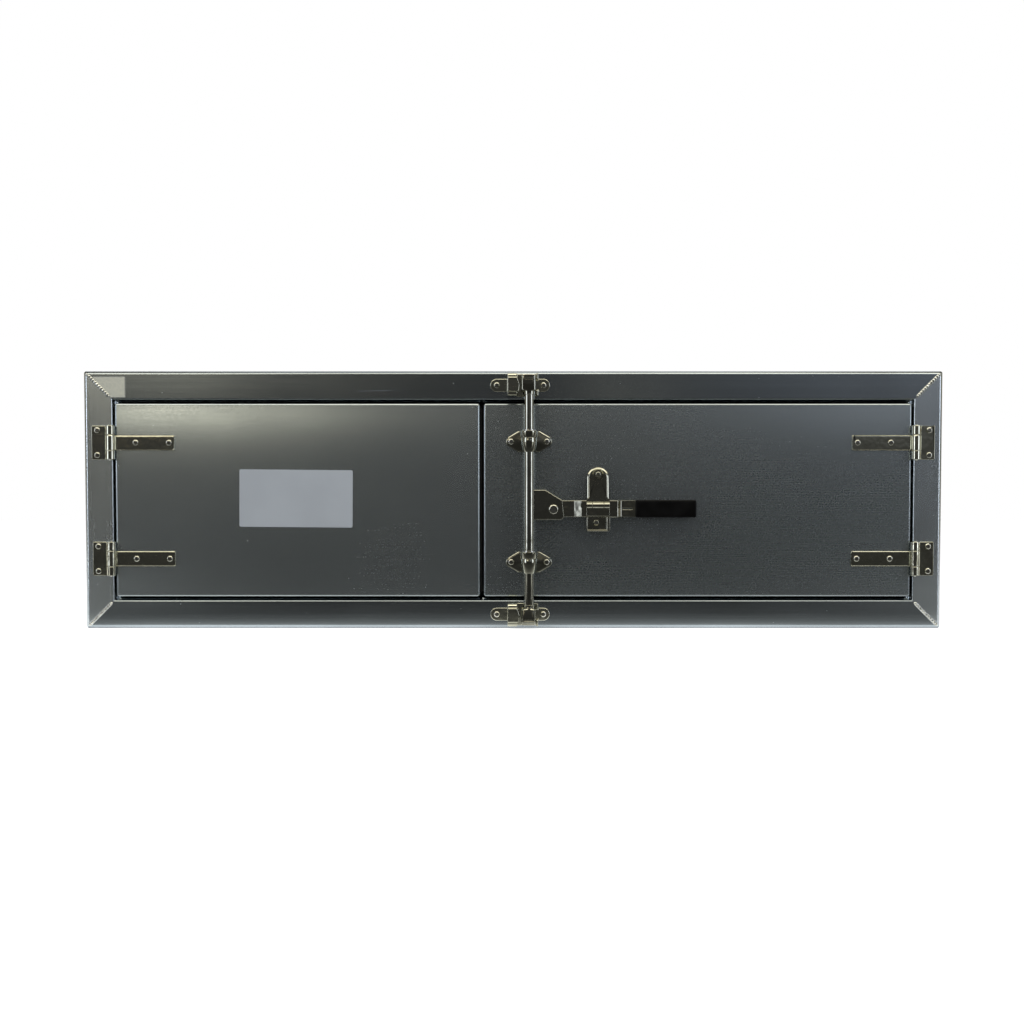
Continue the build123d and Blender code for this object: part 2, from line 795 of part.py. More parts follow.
with BuildPart() as handle_grip:
    with BuildSketch(ahead(rod_ahead - grip_thickness / 2)):
        with Locations(((grip_start + grip_end) / 2, bar_z)):
            Rectangle(grip_length, grip_height)
    extrude(amount=grip_thickness)
    fillet(handle_grip.edges(), grip_round)
    with BuildSketch(ahead(rod_ahead - bar_sheet / 2)):
        with Locations((grip_start, bar_z)):
            Rectangle(bar_end - grip_start, bar_height, align=(Align.MIN, Align.CENTER))
    extrude(amount=bar_sheet, mode=Mode.SUBTRACT)
save(handle_grip, "handle_grip")

# Hasp leaf: a plate on the front of the bar, with two knuckles at its top
hasp_y = ahead_y(hasp_ahead)
with BuildPart() as hasp_leaf:
    with BuildSketch(ahead(bar_back_ahead + bar_sheet / 2)):
        with Locations((hasp_x, hasp_z)):
            Rectangle(hasp_leaf_width, hasp_leaf_bottom, align=(Align.CENTER, Align.MAX))
    extrude(amount=hasp_leaf_sheet)
    with BuildSketch(Plane.YZ.offset(hasp_x - hasp_leaf_width / 2)):
        with Locations((hasp_y, hasp_z)):
            Circle(hasp_knuckle_radius)
    extrude(amount=hasp_leaf_width)
    with BuildSketch(Plane.YZ.offset(hasp_x - hasp_knuckle_width / 2 - hasp_knuckle_air)):
        with Locations((hasp_y, hasp_z)):
            Circle(hasp_knuckle_radius + hasp_knuckle_air)
    extrude(amount=hasp_knuckle_width + 2 * hasp_knuckle_air, mode=Mode.SUBTRACT)
    with BuildSketch(Plane.YZ.offset(hasp_x - hasp_leaf_width / 2)):
        with Locations((hasp_y, hasp_z)):
            Circle(hasp_pin_radius)
    extrude(amount=hasp_leaf_width, mode=Mode.SUBTRACT)
save(hasp_leaf, "hasp_leaf")

with BuildPart() as hasp_pin:
    with BuildSketch(Plane.YZ.offset(hasp_x - hasp_leaf_width / 2)):
        with Locations((hasp_y, hasp_z)):
            Circle(hasp_pin_radius)
    extrude(amount=hasp_leaf_width)
save(hasp_pin, "hasp_pin")

# Hasp flap: a plate with raised rims that leans back over the padlock post
lean = Vector(0, 1, 0).rotate(Axis.X, 90 - flap_lean)
flap_plane = Plane(
    origin=(hasp_x, hasp_y, hasp_z),
    x_dir=(1, 0, 0),
    z_dir=Vector(1, 0, 0).cross(lean),
)
with BuildPart() as hasp_flap:
    flap_foot = hasp_knuckle_radius + hasp_knuckle_air
    with BuildSketch(flap_plane.offset(-flap_sheet / 2)) as flap_outline:
        with BuildLine():
            Polyline(
                (-hasp_knuckle_width / 2, 0),
                (-hasp_knuckle_width / 2, flap_foot),
                (-flap_flare_width / 2, flap_foot),
                (-flap_width / 2, flap_foot + flap_flare_height),
                (-flap_width / 2, flap_height - flap_width / 2),
            )
            ThreePointArc(
                (-flap_width / 2, flap_height - flap_width / 2),
                (0, flap_height),
                (flap_width / 2, flap_height - flap_width / 2),
            )
            Polyline(
                (flap_width / 2, flap_height - flap_width / 2),
                (flap_width / 2, flap_foot + flap_flare_height),
                (flap_flare_width / 2, flap_foot),
                (hasp_knuckle_width / 2, flap_foot),
                (hasp_knuckle_width / 2, 0),
                (-hasp_knuckle_width / 2, 0),
            )
        make_face()
    extrude(amount=flap_sheet)
    with BuildSketch(flap_plane.offset(flap_sheet / 2)):
        rim_low = flap_foot + flap_flare_height
        with Locations((0, (rim_low + flap_height - flap_width / 2) / 2)):
            Rectangle(flap_width, flap_height - flap_width / 2 - rim_low)
        with Locations((0, flap_height - flap_width / 2)):
            Circle(flap_width / 2)
            Circle(flap_width / 2 - flap_rim_width, mode=Mode.SUBTRACT)
        with Locations((0, (rim_low + flap_height - flap_width / 2) / 2)):
            Rectangle(
                flap_width - 2 * flap_rim_width,
                flap_height - flap_width / 2 - rim_low,
                mode=Mode.SUBTRACT,
            )
    extrude(amount=flap_rim_height)
    with BuildSketch(Plane.YZ.offset(hasp_x - hasp_knuckle_width / 2)):
        with Locations((hasp_y, hasp_z)):
            Circle(hasp_knuckle_radius)
    extrude(amount=hasp_knuckle_width)
    with BuildSketch(Plane.YZ.offset(hasp_x - hasp_knuckle_width / 2)):
        with Locations((hasp_y, hasp_z)):
            Circle(hasp_pin_radius + running_air)
    extrude(amount=hasp_knuckle_width, mode=Mode.SUBTRACT)
    with BuildSketch(flap_plane.offset(-flap_sheet / 2)):
        with Locations((0, (flap_hole_z - hasp_z) / lean.Z)):
            Circle(flap_hole_radius)
    extrude(amount=flap_sheet, mode=Mode.SUBTRACT)
save(hasp_flap, "hasp_flap")

# Retainer plate on the door: the cradle walls under the bar, and a neck that hides behind the flap
with BuildPart() as retainer_base:
    with BuildSketch(ahead(0)):
        with Locations((retainer_left + retainer_width / 2, retainer_bottom + cradle_height / 2)):
            RectangleRounded(retainer_width, cradle_height, retainer_corner)
        neck_top = retainer_bottom + retainer_height - retainer_neck_width / 2
        with Locations((hasp_x, (retainer_bottom + retainer_corner + neck_top) / 2)):
            Rectangle(retainer_neck_width, neck_top - retainer_bottom - retainer_corner)
        with Locations((hasp_x, neck_top)):
            Circle(retainer_neck_width / 2)
    extrude(amount=retainer_sheet)
    with BuildSketch(ahead(retainer_sheet)) as cradle:
        with Locations((retainer_left, retainer_bottom)):
            Rectangle(retainer_width, cradle_height, align=(Align.MIN, Align.MIN))
        fillet(cradle.vertices().group_by(Axis.Y)[0], retainer_corner)
        with Locations((retainer_left + cradle_left_wall, retainer_bottom + cradle_floor)):
            Rectangle(
                retainer_width - cradle_left_wall - cradle_right_wall,
                cradle_height,
                align=(Align.MIN, Align.MIN),
                mode=Mode.SUBTRACT,
            )
    extrude(amount=cradle_ahead - retainer_sheet)
    bolt_holes(retainer_bolt_places, retainer_sheet)
save(retainer_base, "retainer_base")

with BuildPart() as padlock_post:
    post_place = (hasp_x, flap_hole_z)
    with BuildSketch(ahead(retainer_sheet)):
        with Locations(post_place):
            Circle(post_radius)
    extrude(amount=post_ahead - retainer_sheet)
    fillet(padlock_post.edges().group_by(Axis.Y)[0], post_round)
    with BuildSketch(ahead(retainer_sheet)):
        with Locations(post_place):
            Circle(post_flange_radius)
    extrude(amount=post_flange_height)
    with BuildSketch(Plane.YZ.offset(hasp_x - post_radius)):
        with Locations((ahead_y(post_ahead - post_eye_inset), flap_hole_z)):
            Circle(post_eye_radius)
    extrude(amount=2 * post_radius, mode=Mode.SUBTRACT)
save(padlock_post, "padlock_post")

# Slide bolts that hold the left door from inside: each shoots past the edge of a door stop
stop_edge = rail_face + stop_reach
for name, side in (("bottom", -1), ("top", 1)):
    edge_z = height / 2 + side * (height / 2 - stop_edge)
    tip_z = edge_z - side * slide_tip_air
    slide_y = ahead_y(-slide_setback)
    with BuildPart() as slide_bolt:
        with BuildSketch(level(tip_z - side * slide_length)):
            with Locations((slide_x, slide_y)):
                Circle(slide_radius)
        extrude(amount=side * slide_length)
        with BuildSketch(ahead(-slide_setback)):
            with Locations((slide_x, tip_z - side * slide_knob_place)):
                Circle(slide_knob_radius)
        extrude(amount=-slide_knob_length)
    save(slide_bolt, f"{name}_slide_bolt")

    with BuildPart() as housing:
        housing_back = slide_setback + slide_radius + housing_wall
        housing_low = tip_z - side * (far_block_place + guide_block_length)
        housing_high = tip_z - side * guide_block_inset
        with BuildSketch(ahead(-door_depth)):
            with Locations((slide_x, (housing_low + housing_high) / 2)):
                Rectangle(housing_width, abs(housing_high - housing_low))
        extrude(amount=-housing_sheet)
        with BuildSketch(ahead(-door_depth - housing_sheet)):
            for start in (guide_block_inset, far_block_place):
                with Locations((slide_x, tip_z - side * (start + guide_block_length / 2))):
                    Rectangle(guide_block_width, guide_block_length)
        extrude(amount=-(housing_back - door_depth - housing_sheet))
        with BuildSketch(level(tip_z - side * slide_length)):
            with Locations((slide_x, slide_y)):
                Circle(slide_radius + running_air)
        extrude(amount=side * slide_length, mode=Mode.SUBTRACT)
    save(housing, f"{name}_bolt_housing")
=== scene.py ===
# %% [markdown]
# # An aluminium tool box, seen from the front
# The box is a welded frame of hollow rails with a folded shell behind it. Two doors hang on strap
# hinges, and one polished rod lock holds them shut. The solids, their places and the way they move
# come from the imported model. This lesson adds what a photograph shows beyond them: eased edges that
# catch the light, weld beads, a moulded grip, the finish of each metal, and a small photo studio.

import json
import math

import bmesh
import bpy
import numpy as np
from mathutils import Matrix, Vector

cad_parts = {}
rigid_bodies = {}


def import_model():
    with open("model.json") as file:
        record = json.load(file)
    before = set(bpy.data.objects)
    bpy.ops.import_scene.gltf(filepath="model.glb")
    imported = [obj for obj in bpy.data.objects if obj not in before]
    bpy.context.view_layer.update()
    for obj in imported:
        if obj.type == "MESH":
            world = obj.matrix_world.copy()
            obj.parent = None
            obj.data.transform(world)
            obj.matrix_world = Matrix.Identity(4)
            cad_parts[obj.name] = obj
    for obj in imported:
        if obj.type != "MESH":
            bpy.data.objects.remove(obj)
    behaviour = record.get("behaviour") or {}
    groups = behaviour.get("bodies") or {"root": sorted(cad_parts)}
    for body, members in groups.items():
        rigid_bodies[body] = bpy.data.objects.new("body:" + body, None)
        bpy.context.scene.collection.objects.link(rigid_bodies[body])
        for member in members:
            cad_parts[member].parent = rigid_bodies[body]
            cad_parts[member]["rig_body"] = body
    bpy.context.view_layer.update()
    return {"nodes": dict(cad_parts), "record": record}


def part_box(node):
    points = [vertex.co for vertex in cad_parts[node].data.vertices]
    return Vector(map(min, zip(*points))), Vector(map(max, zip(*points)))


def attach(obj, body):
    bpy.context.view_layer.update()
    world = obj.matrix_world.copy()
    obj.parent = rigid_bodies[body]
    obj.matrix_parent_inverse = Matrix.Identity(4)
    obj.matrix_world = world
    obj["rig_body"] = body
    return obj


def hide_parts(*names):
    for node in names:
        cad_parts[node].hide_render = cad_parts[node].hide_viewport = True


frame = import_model()
nodes = frame["nodes"]
body_of_node = {name: obj["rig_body"] for name, obj in nodes.items()}

# %% [markdown]
# ## The camera
# The photograph was taken from straight ahead with a moderately long lens. The box is a touch wider
# at the top than at the bottom, so the camera looked down by a few degrees from the box's own
# height, and the picture was cropped afterwards. Two ways could copy that crop: turning the camera
# up again, which would lose the taper, or a lens shift, which keeps it. The shift is used here.

# %% Camera
front_y = -0.2286
middle_height = 0.2286
camera_distance = 3.0
camera_pitch = math.radians(2.85)

camera_data = bpy.data.cameras.new("studio_camera")
camera_data.sensor_width = 36.0
camera_data.lens = 59.2
camera_data.shift_x = -0.0012
camera_data.shift_y = 0.0703
camera_data.clip_end = 50.0
camera = bpy.data.objects.new("studio_camera", camera_data)
camera.location = (0.0, front_y - camera_distance, middle_height)
camera.rotation_euler = (math.pi / 2 - camera_pitch, 0.0, 0.0)
bpy.context.scene.collection.objects.link(camera)
bpy.context.scene.camera = camera
print("camera at", tuple(round(v, 3) for v in camera.location))

# %% [markdown]
# ## Small helpers for node trees
# Every finish below is a node tree, and writing out each link by hand would bury what matters. One
# function adds a node with its settings, and takes a number for a socket or another node's output.

# %% Node helpers


def add_node(tree, kind, inputs=None, **settings):
    """One node. inputs maps a socket's name or number to a value, or to another node's output."""
    node = tree.nodes.new(kind)
    for key, value in settings.items():
        setattr(node, key, value)
    for key, value in (inputs or {}).items():
        socket = node.inputs[key]
        if isinstance(value, bpy.types.NodeSocket):
            tree.links.new(value, socket)
        else:
            socket.default_value = value
    return node


def math_node(tree, operation, first, second=0.0, clamp=False):
    """The output of one Math node: an operation on two numbers or outputs."""
    node = add_node(tree, "ShaderNodeMath", {0: first, 1: second}, operation=operation, use_clamp=clamp)
    return node.outputs[0]


def ramp(tree, value, low, high, to_low=0.0, to_high=1.0):
    """A soft step: to_low below low, to_high above high, and a smooth S between them."""
    node = add_node(
        tree,
        "ShaderNodeMapRange",
        {"Value": value, "From Min": low, "From Max": high, "To Min": to_low, "To Max": to_high},
        interpolation_type="SMOOTHSTEP",
    )
    return node.outputs["Result"]


def mix_colours(tree, amount, first, second):
    """A colour between two others: first where amount is 0 and second where it is 1."""
    node = add_node(tree, "ShaderNodeMix", data_type="RGBA")
    for socket, value in ((node.inputs[0], amount), (node.inputs[6], first), (node.inputs[7], second)):
        if isinstance(value, bpy.types.NodeSocket):
            tree.links.new(value, socket)
        else:
            socket.default_value = value
    return node.outputs[2]


def new_material(name):
    """An empty material with its tree, a Principled BSDF and the object's own coordinates."""
    material = bpy.data.materials.new(name)
    material.use_nodes = True
    tree = material.node_tree
    tree.nodes.clear()
    shader = add_node(tree, "ShaderNodeBsdfPrincipled")
    add_node(tree, "ShaderNodeOutputMaterial", {"Surface": shader.outputs[0]})
    coordinates = add_node(tree, "ShaderNodeTexCoord").outputs["Object"]
    return material, tree, shader, coordinates


def new_group(name, inputs, outputs):
    """An empty node group with named inputs and outputs, each a pair of a name and a socket type."""
    group = bpy.data.node_groups.new(name, "ShaderNodeTree")
    for label, kind in inputs:
        group.interface.new_socket(name=label, in_out="INPUT", socket_type=kind)
    for label, kind in outputs:
        group.interface.new_socket(name=label, in_out="OUTPUT", socket_type=kind)
    entry = group.nodes.new("NodeGroupInput")
    leave = group.nodes.new("NodeGroupOutput")
    return group, entry, leave


# %% [markdown]
# ## What sheet metal picks up
# Rolled aluminium has a very fine grain in the direction of rolling, cloudy patches where it was
# wiped, thin stray scratches, small bright nicks, and on drawn rails long shallow lines from the die.
# An image texture could hold all of it, but this file is to stand alone, so a few noises do. They
# live in one group that every metal uses. The group's vector is in metres, and its own x is the
# direction of the grain.

# %% Group of metal marks
metal_marks, marks_in, marks_out = new_group(
    "metal_marks",
    [("Vector", "NodeSocketVector"), ("Cloud Scale", "NodeSocketFloat")],
    [
        ("Grain", "NodeSocketFloat"),
        ("Speckle", "NodeSocketFloat"),
        ("Clouds", "NodeSocketFloat"),
        ("Scratches", "NodeSocketFloat"),
        ("Lines", "NodeSocketFloat"),
    ],
)


def stretched(tree, vector, scale, turn=(0.0, 0.0, 0.0)):
    """The vector turned and then scaled along each axis."""
    node = add_node(tree, "ShaderNodeMapping", {"Vector": vector, "Scale": scale, "Rotation": turn})
    return node.outputs[0]


def noise(tree, vector, scale, detail=2.0, **settings):
    """The grey value of a noise texture."""
    inputs = {"Vector": vector, "Scale": scale, "Detail": detail, **settings}
    return add_node(tree, "ShaderNodeTexNoise", inputs).outputs["Fac"]


marks_vector = marks_in.outputs["Vector"]
grain_value = noise(metal_marks, stretched(metal_marks, marks_vector, (9, 700, 700)), 1.0, 3.0)
metal_marks.links.new(grain_value, marks_out.inputs["Grain"])
speckle_value = noise(metal_marks, marks_vector, 330.0, 3.0, Roughness=0.7)
metal_marks.links.new(speckle_value, marks_out.inputs["Speckle"])

cloud_value = noise(
    metal_marks,
    stretched(metal_marks, marks_vector, (0.7, 1, 1)),
    marks_in.outputs["Cloud Scale"],
    2.0,
    Roughness=0.5,
    Distortion=0.5,
)
metal_marks.links.new(ramp(metal_marks, cloud_value, 0.32, 0.68), marks_out.inputs["Clouds"])

# A scratch is a noise stretched some 30 to 150 times in one direction, where it passes a threshold.
scratch_value = 0.0
for lean, long, fine in ((0.07, 3.5, 520.0), (0.9, 14.0, 520.0), (-0.5, 18.0, 600.0)):
    turned = stretched(metal_marks, marks_vector, (fine, fine, long), (0.0, lean, 0.0))
    line = ramp(metal_marks, noise(metal_marks, turned, 1.0, 1.0), 0.79, 0.93)
    scratch_value = math_node(metal_marks, "MAXIMUM", scratch_value, line)
nick_value = ramp(metal_marks, noise(metal_marks, marks_vector, 240.0, 0.0), 0.85, 0.89)
marks_value = math_node(metal_marks, "MAXIMUM", scratch_value, nick_value)
metal_marks.links.new(marks_value, marks_out.inputs["Scratches"])
line_value = noise(metal_marks, stretched(metal_marks, marks_vector, (0.3, 85, 85)), 1.0, 2.0)
metal_marks.links.new(line_value, marks_out.inputs["Lines"])
print("group", metal_marks.name, "with", len(metal_marks.nodes), "nodes")

# %% [markdown]
# ## Sheet that isn't quite flat
# A door skin held at its folded edges bows a little, and that bow is why its reflection slides from
# pale to dark over a hand's width. Modelling it would move the skin away from its hinges and seals.
# A height map in metres turns the normals and leaves the mesh flat. It was set until the doors mirrored what
# they do in the photograph, not measured, and it reaches 6.5 mm at the left door's top corners. It has a
# square part for the bow, and a fourth power upwards for the top fold.
# Past the outer distances from the centre, and short of the inner ones, it falls away as a square,
# like the rolled edges of a drawn rail.

# %% Group of sheet bow
sheet_bow, bow_in, bow_out = new_group(
    "sheet_bow",
    [
        ("Vector", "NodeSocketVector"),
        ("Centre", "NodeSocketVector"),
        ("Bow X", "NodeSocketFloat"),
        ("Bow Z", "NodeSocketFloat"),
        ("Curl", "NodeSocketFloat"),
        ("Outer", "NodeSocketVector"),
        ("Inner", "NodeSocketVector"),
        ("Roll", "NodeSocketFloat"),
        ("Waves", "NodeSocketFloat"),
        ("Wave Scale", "NodeSocketFloat"),
    ],
    [("Height", "NodeSocketFloat")],
)
from_centre = add_node(
    sheet_bow,
    "ShaderNodeVectorMath",
    {0: bow_in.outputs["Vector"], 1: bow_in.outputs["Centre"]},
    operation="SUBTRACT",
)
parts = add_node(sheet_bow, "ShaderNodeSeparateXYZ", {0: from_centre.outputs[0]})
bow_sum = 0.0
for axis, label in ((0, "Bow X"), (2, "Bow Z")):
    square = math_node(sheet_bow, "MULTIPLY", parts.outputs[axis], parts.outputs[axis])
    bowed = math_node(sheet_bow, "MULTIPLY", square, bow_in.outputs[label])
    bow_sum = math_node(sheet_bow, "ADD", bow_sum, bowed)
upper_part = math_node(sheet_bow, "MAXIMUM", parts.outputs[2], 0.0)
upper_square = math_node(sheet_bow, "MULTIPLY", upper_part, upper_part)
curl = math_node(sheet_bow, "MULTIPLY", upper_square, upper_square)
curl = math_node(sheet_bow, "MULTIPLY", curl, bow_in.outputs["Curl"])
bow_sum = math_node(sheet_bow, "ADD", bow_sum, curl)
from_middle = add_node(sheet_bow, "ShaderNodeVectorMath", {0: from_centre.outputs[0]}, operation="ABSOLUTE")
roll_pairs = (
    (from_middle.outputs[0], bow_in.outputs["Outer"]),
    (bow_in.outputs["Inner"], from_middle.outputs[0]),
)
for first, second in roll_pairs:
    past = add_node(sheet_bow, "ShaderNodeVectorMath", {0: first, 1: second}, operation="SUBTRACT")
    above = {0: past.outputs[0], 1: (0, 0, 0)}
    past = add_node(sheet_bow, "ShaderNodeVectorMath", above, operation="MAXIMUM")
    past = add_node(
        sheet_bow, "ShaderNodeVectorMath", {0: past.outputs[0], 1: past.outputs[0]}, operation="DOT_PRODUCT"
    )
    roll = math_node(sheet_bow, "MULTIPLY", past.outputs["Value"], bow_in.outputs["Roll"])
    bow_sum = math_node(sheet_bow, "ADD", bow_sum, roll)
wave_noise = noise(sheet_bow, bow_in.outputs["Vector"], bow_in.outputs["Wave Scale"], 1.0)
waves = math_node(sheet_bow, "MULTIPLY", wave_noise, bow_in.outputs["Waves"])
sheet_bow.links.new(math_node(sheet_bow, "SUBTRACT", waves, bow_sum), bow_out.inputs["Height"])
bow_labels = ("Centre", "Bow X", "Bow Z", "Curl", "Outer", "Inner", "Roll", "Waves", "Wave Scale")
print("group", sheet_bow.name, "ready")

# %% [markdown]
# ## The metals
# All of them are one recipe with different numbers: a metallic shader, a base colour that the
# clouds vary, a roughness that the grain and clouds vary, and a bump from the grain, the scratches
# and the bow. The frame and doors are plain mill aluminium with a cool tint.
# The lock and hinges are polished stainless steel with a faint warm tint.

# %% Metal recipe
# The first three numbers shape the painted reflection in metal(): how fully its pale tint covers the patch,
# how much metallic it takes away, and where its edge begins to fade.
painted_reflection_cover = 0.95
painted_reflection_dulling = 0.55
painted_reflection_edge = 0.86
mottle_shade = 0.72
worn_gain = 1.8
fine_share = 0.1


def metal(
    name,
    colour,
    second_colour,
    roughness,
    roughness_spread=0.05,
    grain=4e-6,
    scratch=0.15,
    speckle=0.25,
    turn=(0.0, 0.0, 0.0),
    clouds=4.0,
    metallic=1.0,
    bow=((0.0, 0.0, 0.0), 0.0, 0.0, 0.0),
    rolled=((10.0, 10.0, 10.0), (0.0, 0.0, 0.0), 0.0),
    waves=(0.0008, 3.2),
    lines=0.0,
    pale=None,
):
    """A metal finish. bow is (centre, bow x, bow z, curl), rolled is (outer, inner, roll), waves is (height,
    scale), lines is a height, and pale is (tint, place, half size) of a painted reflection: a pale, less
    metallic patch in the base colour that stands in for light mirrored there."""
    material, tree, shader, coordinates = new_material(name)
    marks = add_node(tree, "ShaderNodeGroup", node_tree=metal_marks)
    tree.links.new(stretched(tree, coordinates, (1.0, 1.0, 1.0), turn), marks.inputs["Vector"])
    marks.inputs["Cloud Scale"].default_value = clouds
    tint = mix_colours(tree, marks.outputs["Clouds"], colour, second_colour)
    # Painted reflection: inside the patch the base colour turns pale khaki and the metallic drops, so the
    # patch reads as lit. It stands in for a pale patch of the room mirrored there.
    if pale:
        painted_reflection_colour, painted_reflection_place, painted_reflection_half = pale
        offset = add_node(tree, "ShaderNodeVectorMath", {0: coordinates, 1: painted_reflection_place}, operation="SUBTRACT")
        away = add_node(tree, "ShaderNodeVectorMath", {0: offset.outputs[0]}, operation="ABSOLUTE")
        sides = add_node(tree, "ShaderNodeSeparateXYZ", {0: away.outputs[0]})
        inside = painted_reflection_cover
        for axis in (0, 2):
            half = painted_reflection_half[axis]
            edge = ramp(tree, sides.outputs[axis], half * painted_reflection_edge, half, 1.0, 0.0)
            inside = math_node(tree, "MULTIPLY", edge, inside)
        tint = mix_colours(tree, inside, tint, painted_reflection_colour)
        metallic_under_painted_reflection = math_node(tree, "SUBTRACT", 1.0, math_node(tree, "MULTIPLY", inside, painted_reflection_dulling))
        tree.links.new(math_node(tree, "MULTIPLY", metallic_under_painted_reflection, metallic), shader.inputs["Metallic"])
    dark = tuple(c * mottle_shade for c in colour[:3]) + (1.0,)
    mottle = math_node(tree, "MULTIPLY", ramp(tree, marks.outputs["Speckle"], 0.35, 0.65), speckle)
    tint = mix_colours(tree, mottle, tint, dark)
    bright = tuple(min(1.0, c * worn_gain) for c in colour[:3]) + (1.0,)
    worn = math_node(tree, "MULTIPLY", marks.outputs["Scratches"], scratch)
    tree.links.new(mix_colours(tree, worn, tint, bright), shader.inputs["Base Color"])
    shader.inputs["Metallic"].default_value = metallic
    low_rough, high_rough = roughness - roughness_spread, roughness + roughness_spread
    rough = ramp(tree, marks.outputs["Clouds"], 0.0, 1.0, low_rough, high_rough)
    fine = math_node(tree, "ADD", marks.outputs["Grain"], marks.outputs["Speckle"])
    fine = math_node(tree, "MULTIPLY", math_node(tree, "SUBTRACT", fine, 1.0), fine_share)
    rough = math_node(tree, "ADD", math_node(tree, "ADD", rough, fine), worn, True)
    tree.links.new(rough, shader.inputs["Roughness"])
    height = math_node(tree, "MULTIPLY", marks.outputs["Grain"], grain)
    height = math_node(tree, "SUBTRACT", height, math_node(tree, "MULTIPLY", worn, grain * 2))
    if lines:
        height = math_node(tree, "ADD", height, math_node(tree, "MULTIPLY", marks.outputs["Lines"], lines))
    shape = add_node(tree, "ShaderNodeGroup", node_tree=sheet_bow)
    tree.links.new(coordinates, shape.inputs["Vector"])
    for label, value in zip(bow_labels, (*bow, *rolled, *waves)):
        shape.inputs[label].default_value = value
    height = math_node(tree, "ADD", height, shape.outputs["Height"])
    bump = add_node(tree, "ShaderNodeBump", {"Height": height, "Strength": 1.0, "Distance": 1.0})
    tree.links.new(bump.outputs["Normal"], shader.inputs["Normal"])
    return material


upright = (0.0, math.pi / 2, 0.0)
cast = {"roughness_spread": 0.03, "grain": 5e-7, "scratch": 0.1, "speckle": 0.5, "clouds": 60.0}
finishes = {
    "rail_metal": metal(
        "rail_metal",
        (0.405, 0.455, 0.485, 1),
        (0.33, 0.37, 0.395, 1),
        0.18,
        roughness_spread=0.02,
        grain=2e-6,
        clouds=4.0,
        lines=6e-5,
        bow=((0, 0, 0.2286), 0.0, 0.0, 0.0),
        rolled=((0.7557, 10, 0.2223), (0, 0, 0.1808), 60.0),
        # painted reflection: a pale, less metallic patch on the left end of the top rail, for the pale patch
        # of the room mirrored there
        pale=((0.56, 0.565, 0.48, 1), (-0.717, -0.2286, 0.429), (0.0305, 1.0, 0.0195)),
    ),
    # Painted sheen: the rails' aluminium with a much lighter base colour, a lit copy that stands in for the
    # light that upright grain catches from the sides.
    "stile_painted_sheen_metal": metal(
        "stile_painted_sheen_metal",
        (0.72, 0.785, 0.82, 1),
        (0.63, 0.69, 0.72, 1),
        0.23,
        roughness_spread=0.02,
        grain=2e-6,
        turn=upright,
        clouds=5.0,
        lines=5e-5,
        bow=((0, 0, 0.2286), 0.0, 0.0, 0.0),
        rolled=((0.7557, 10, 0.2223), (0.7142, 0, 0), 60.0),
    ),
    "left_door_metal": metal(
        "left_door_metal",
        (0.40, 0.445, 0.46, 1),
        (0.34, 0.38, 0.395, 1),
        0.24,
        roughness_spread=0.02,
        grain=1.5e-6,
        speckle=0.15,
        clouds=3.0,
        metallic=0.95,
        scratch=0.05,
        bow=((-0.38, 0, 0.2286), 0.004, 0.05, 5.2),
        waves=(0.0012, 3.2),
    ),
    "right_door_metal": metal(
        "right_door_metal",
        (0.335, 0.375, 0.39, 1),
        (0.285, 0.32, 0.335, 1),
        0.26,
        roughness_spread=0.02,
        grain=1.5e-6,
        speckle=0.15,
        clouds=3.0,
        metallic=0.95,
        scratch=0.06,
        bow=((0.33, 0, 0.2286), 0.004, 0.05, 3.0),
        waves=(0.0012, 3.2),
    ),
    "shell_metal": metal("shell_metal", (0.33, 0.345, 0.35, 1), (0.27, 0.285, 0.29, 1), 0.42, clouds=2.0),
    "inner_metal": metal("inner_metal", (0.45, 0.46, 0.46, 1), (0.38, 0.39, 0.39, 1), 0.38, clouds=3.0),
    "weld_metal": metal(
        "weld_metal", (0.74, 0.76, 0.72, 1), (0.46, 0.48, 0.46, 1), 0.20, grain=4e-6, speckle=0.6, clouds=90.0
    ),
    "polished_steel": metal(
        "polished_steel", (0.43, 0.43, 0.36, 1), (0.33, 0.33, 0.27, 1), 0.09, waves=(0.00022, 75.0), **cast
    ),
    "hinge_metal": metal(
        "hinge_metal", (0.64, 0.64, 0.53, 1), (0.52, 0.52, 0.42, 1), 0.09, waves=(0.00022, 75.0), **cast
    ),
    "strap_metal": metal(
        "strap_metal",
        (0.64, 0.64, 0.53, 1),
        (0.52, 0.52, 0.42, 1),
        0.09,
        rolled=((10, 10, 0.3405), (0, 0, 0), 70.0),
        waves=(0.00022, 75.0),
        **cast,
    ),
    "bolt_metal": metal(
        "bolt_metal", (0.70, 0.70, 0.63, 1), (0.48, 0.48, 0.41, 1), 0.08, waves=(0.0002, 160.0), **cast
    ),
    "rod_metal": metal(
        "rod_metal",
        (0.44, 0.44, 0.38, 1),
        (0.34, 0.34, 0.29, 1),
        0.07,
        turn=upright,
        waves=(0.0002, 40.0),
        **cast,
    ),
    "slide_metal": metal(
        "slide_metal",
        (0.50, 0.50, 0.47, 1),
        (0.42, 0.42, 0.39, 1),
        0.28,
        grain=3e-6,
        turn=upright,
        clouds=30.0,
    ),
}
print("metal finishes:", ", ".join(finishes))

# %% [markdown]
# ## Rubber, vinyl and plastic
# The seals are matt black rubber with a faint bloom. The label is vinyl in a plain mid grey, faintly blue,
# left blank. The grip is a dipped plastic sleeve, almost black, with an orange-peel skin. Each of them is one
# noise over a plain colour, with its roughness tied to the same noise, and a finer noise that raises the
# skin.

# %% Non-metals


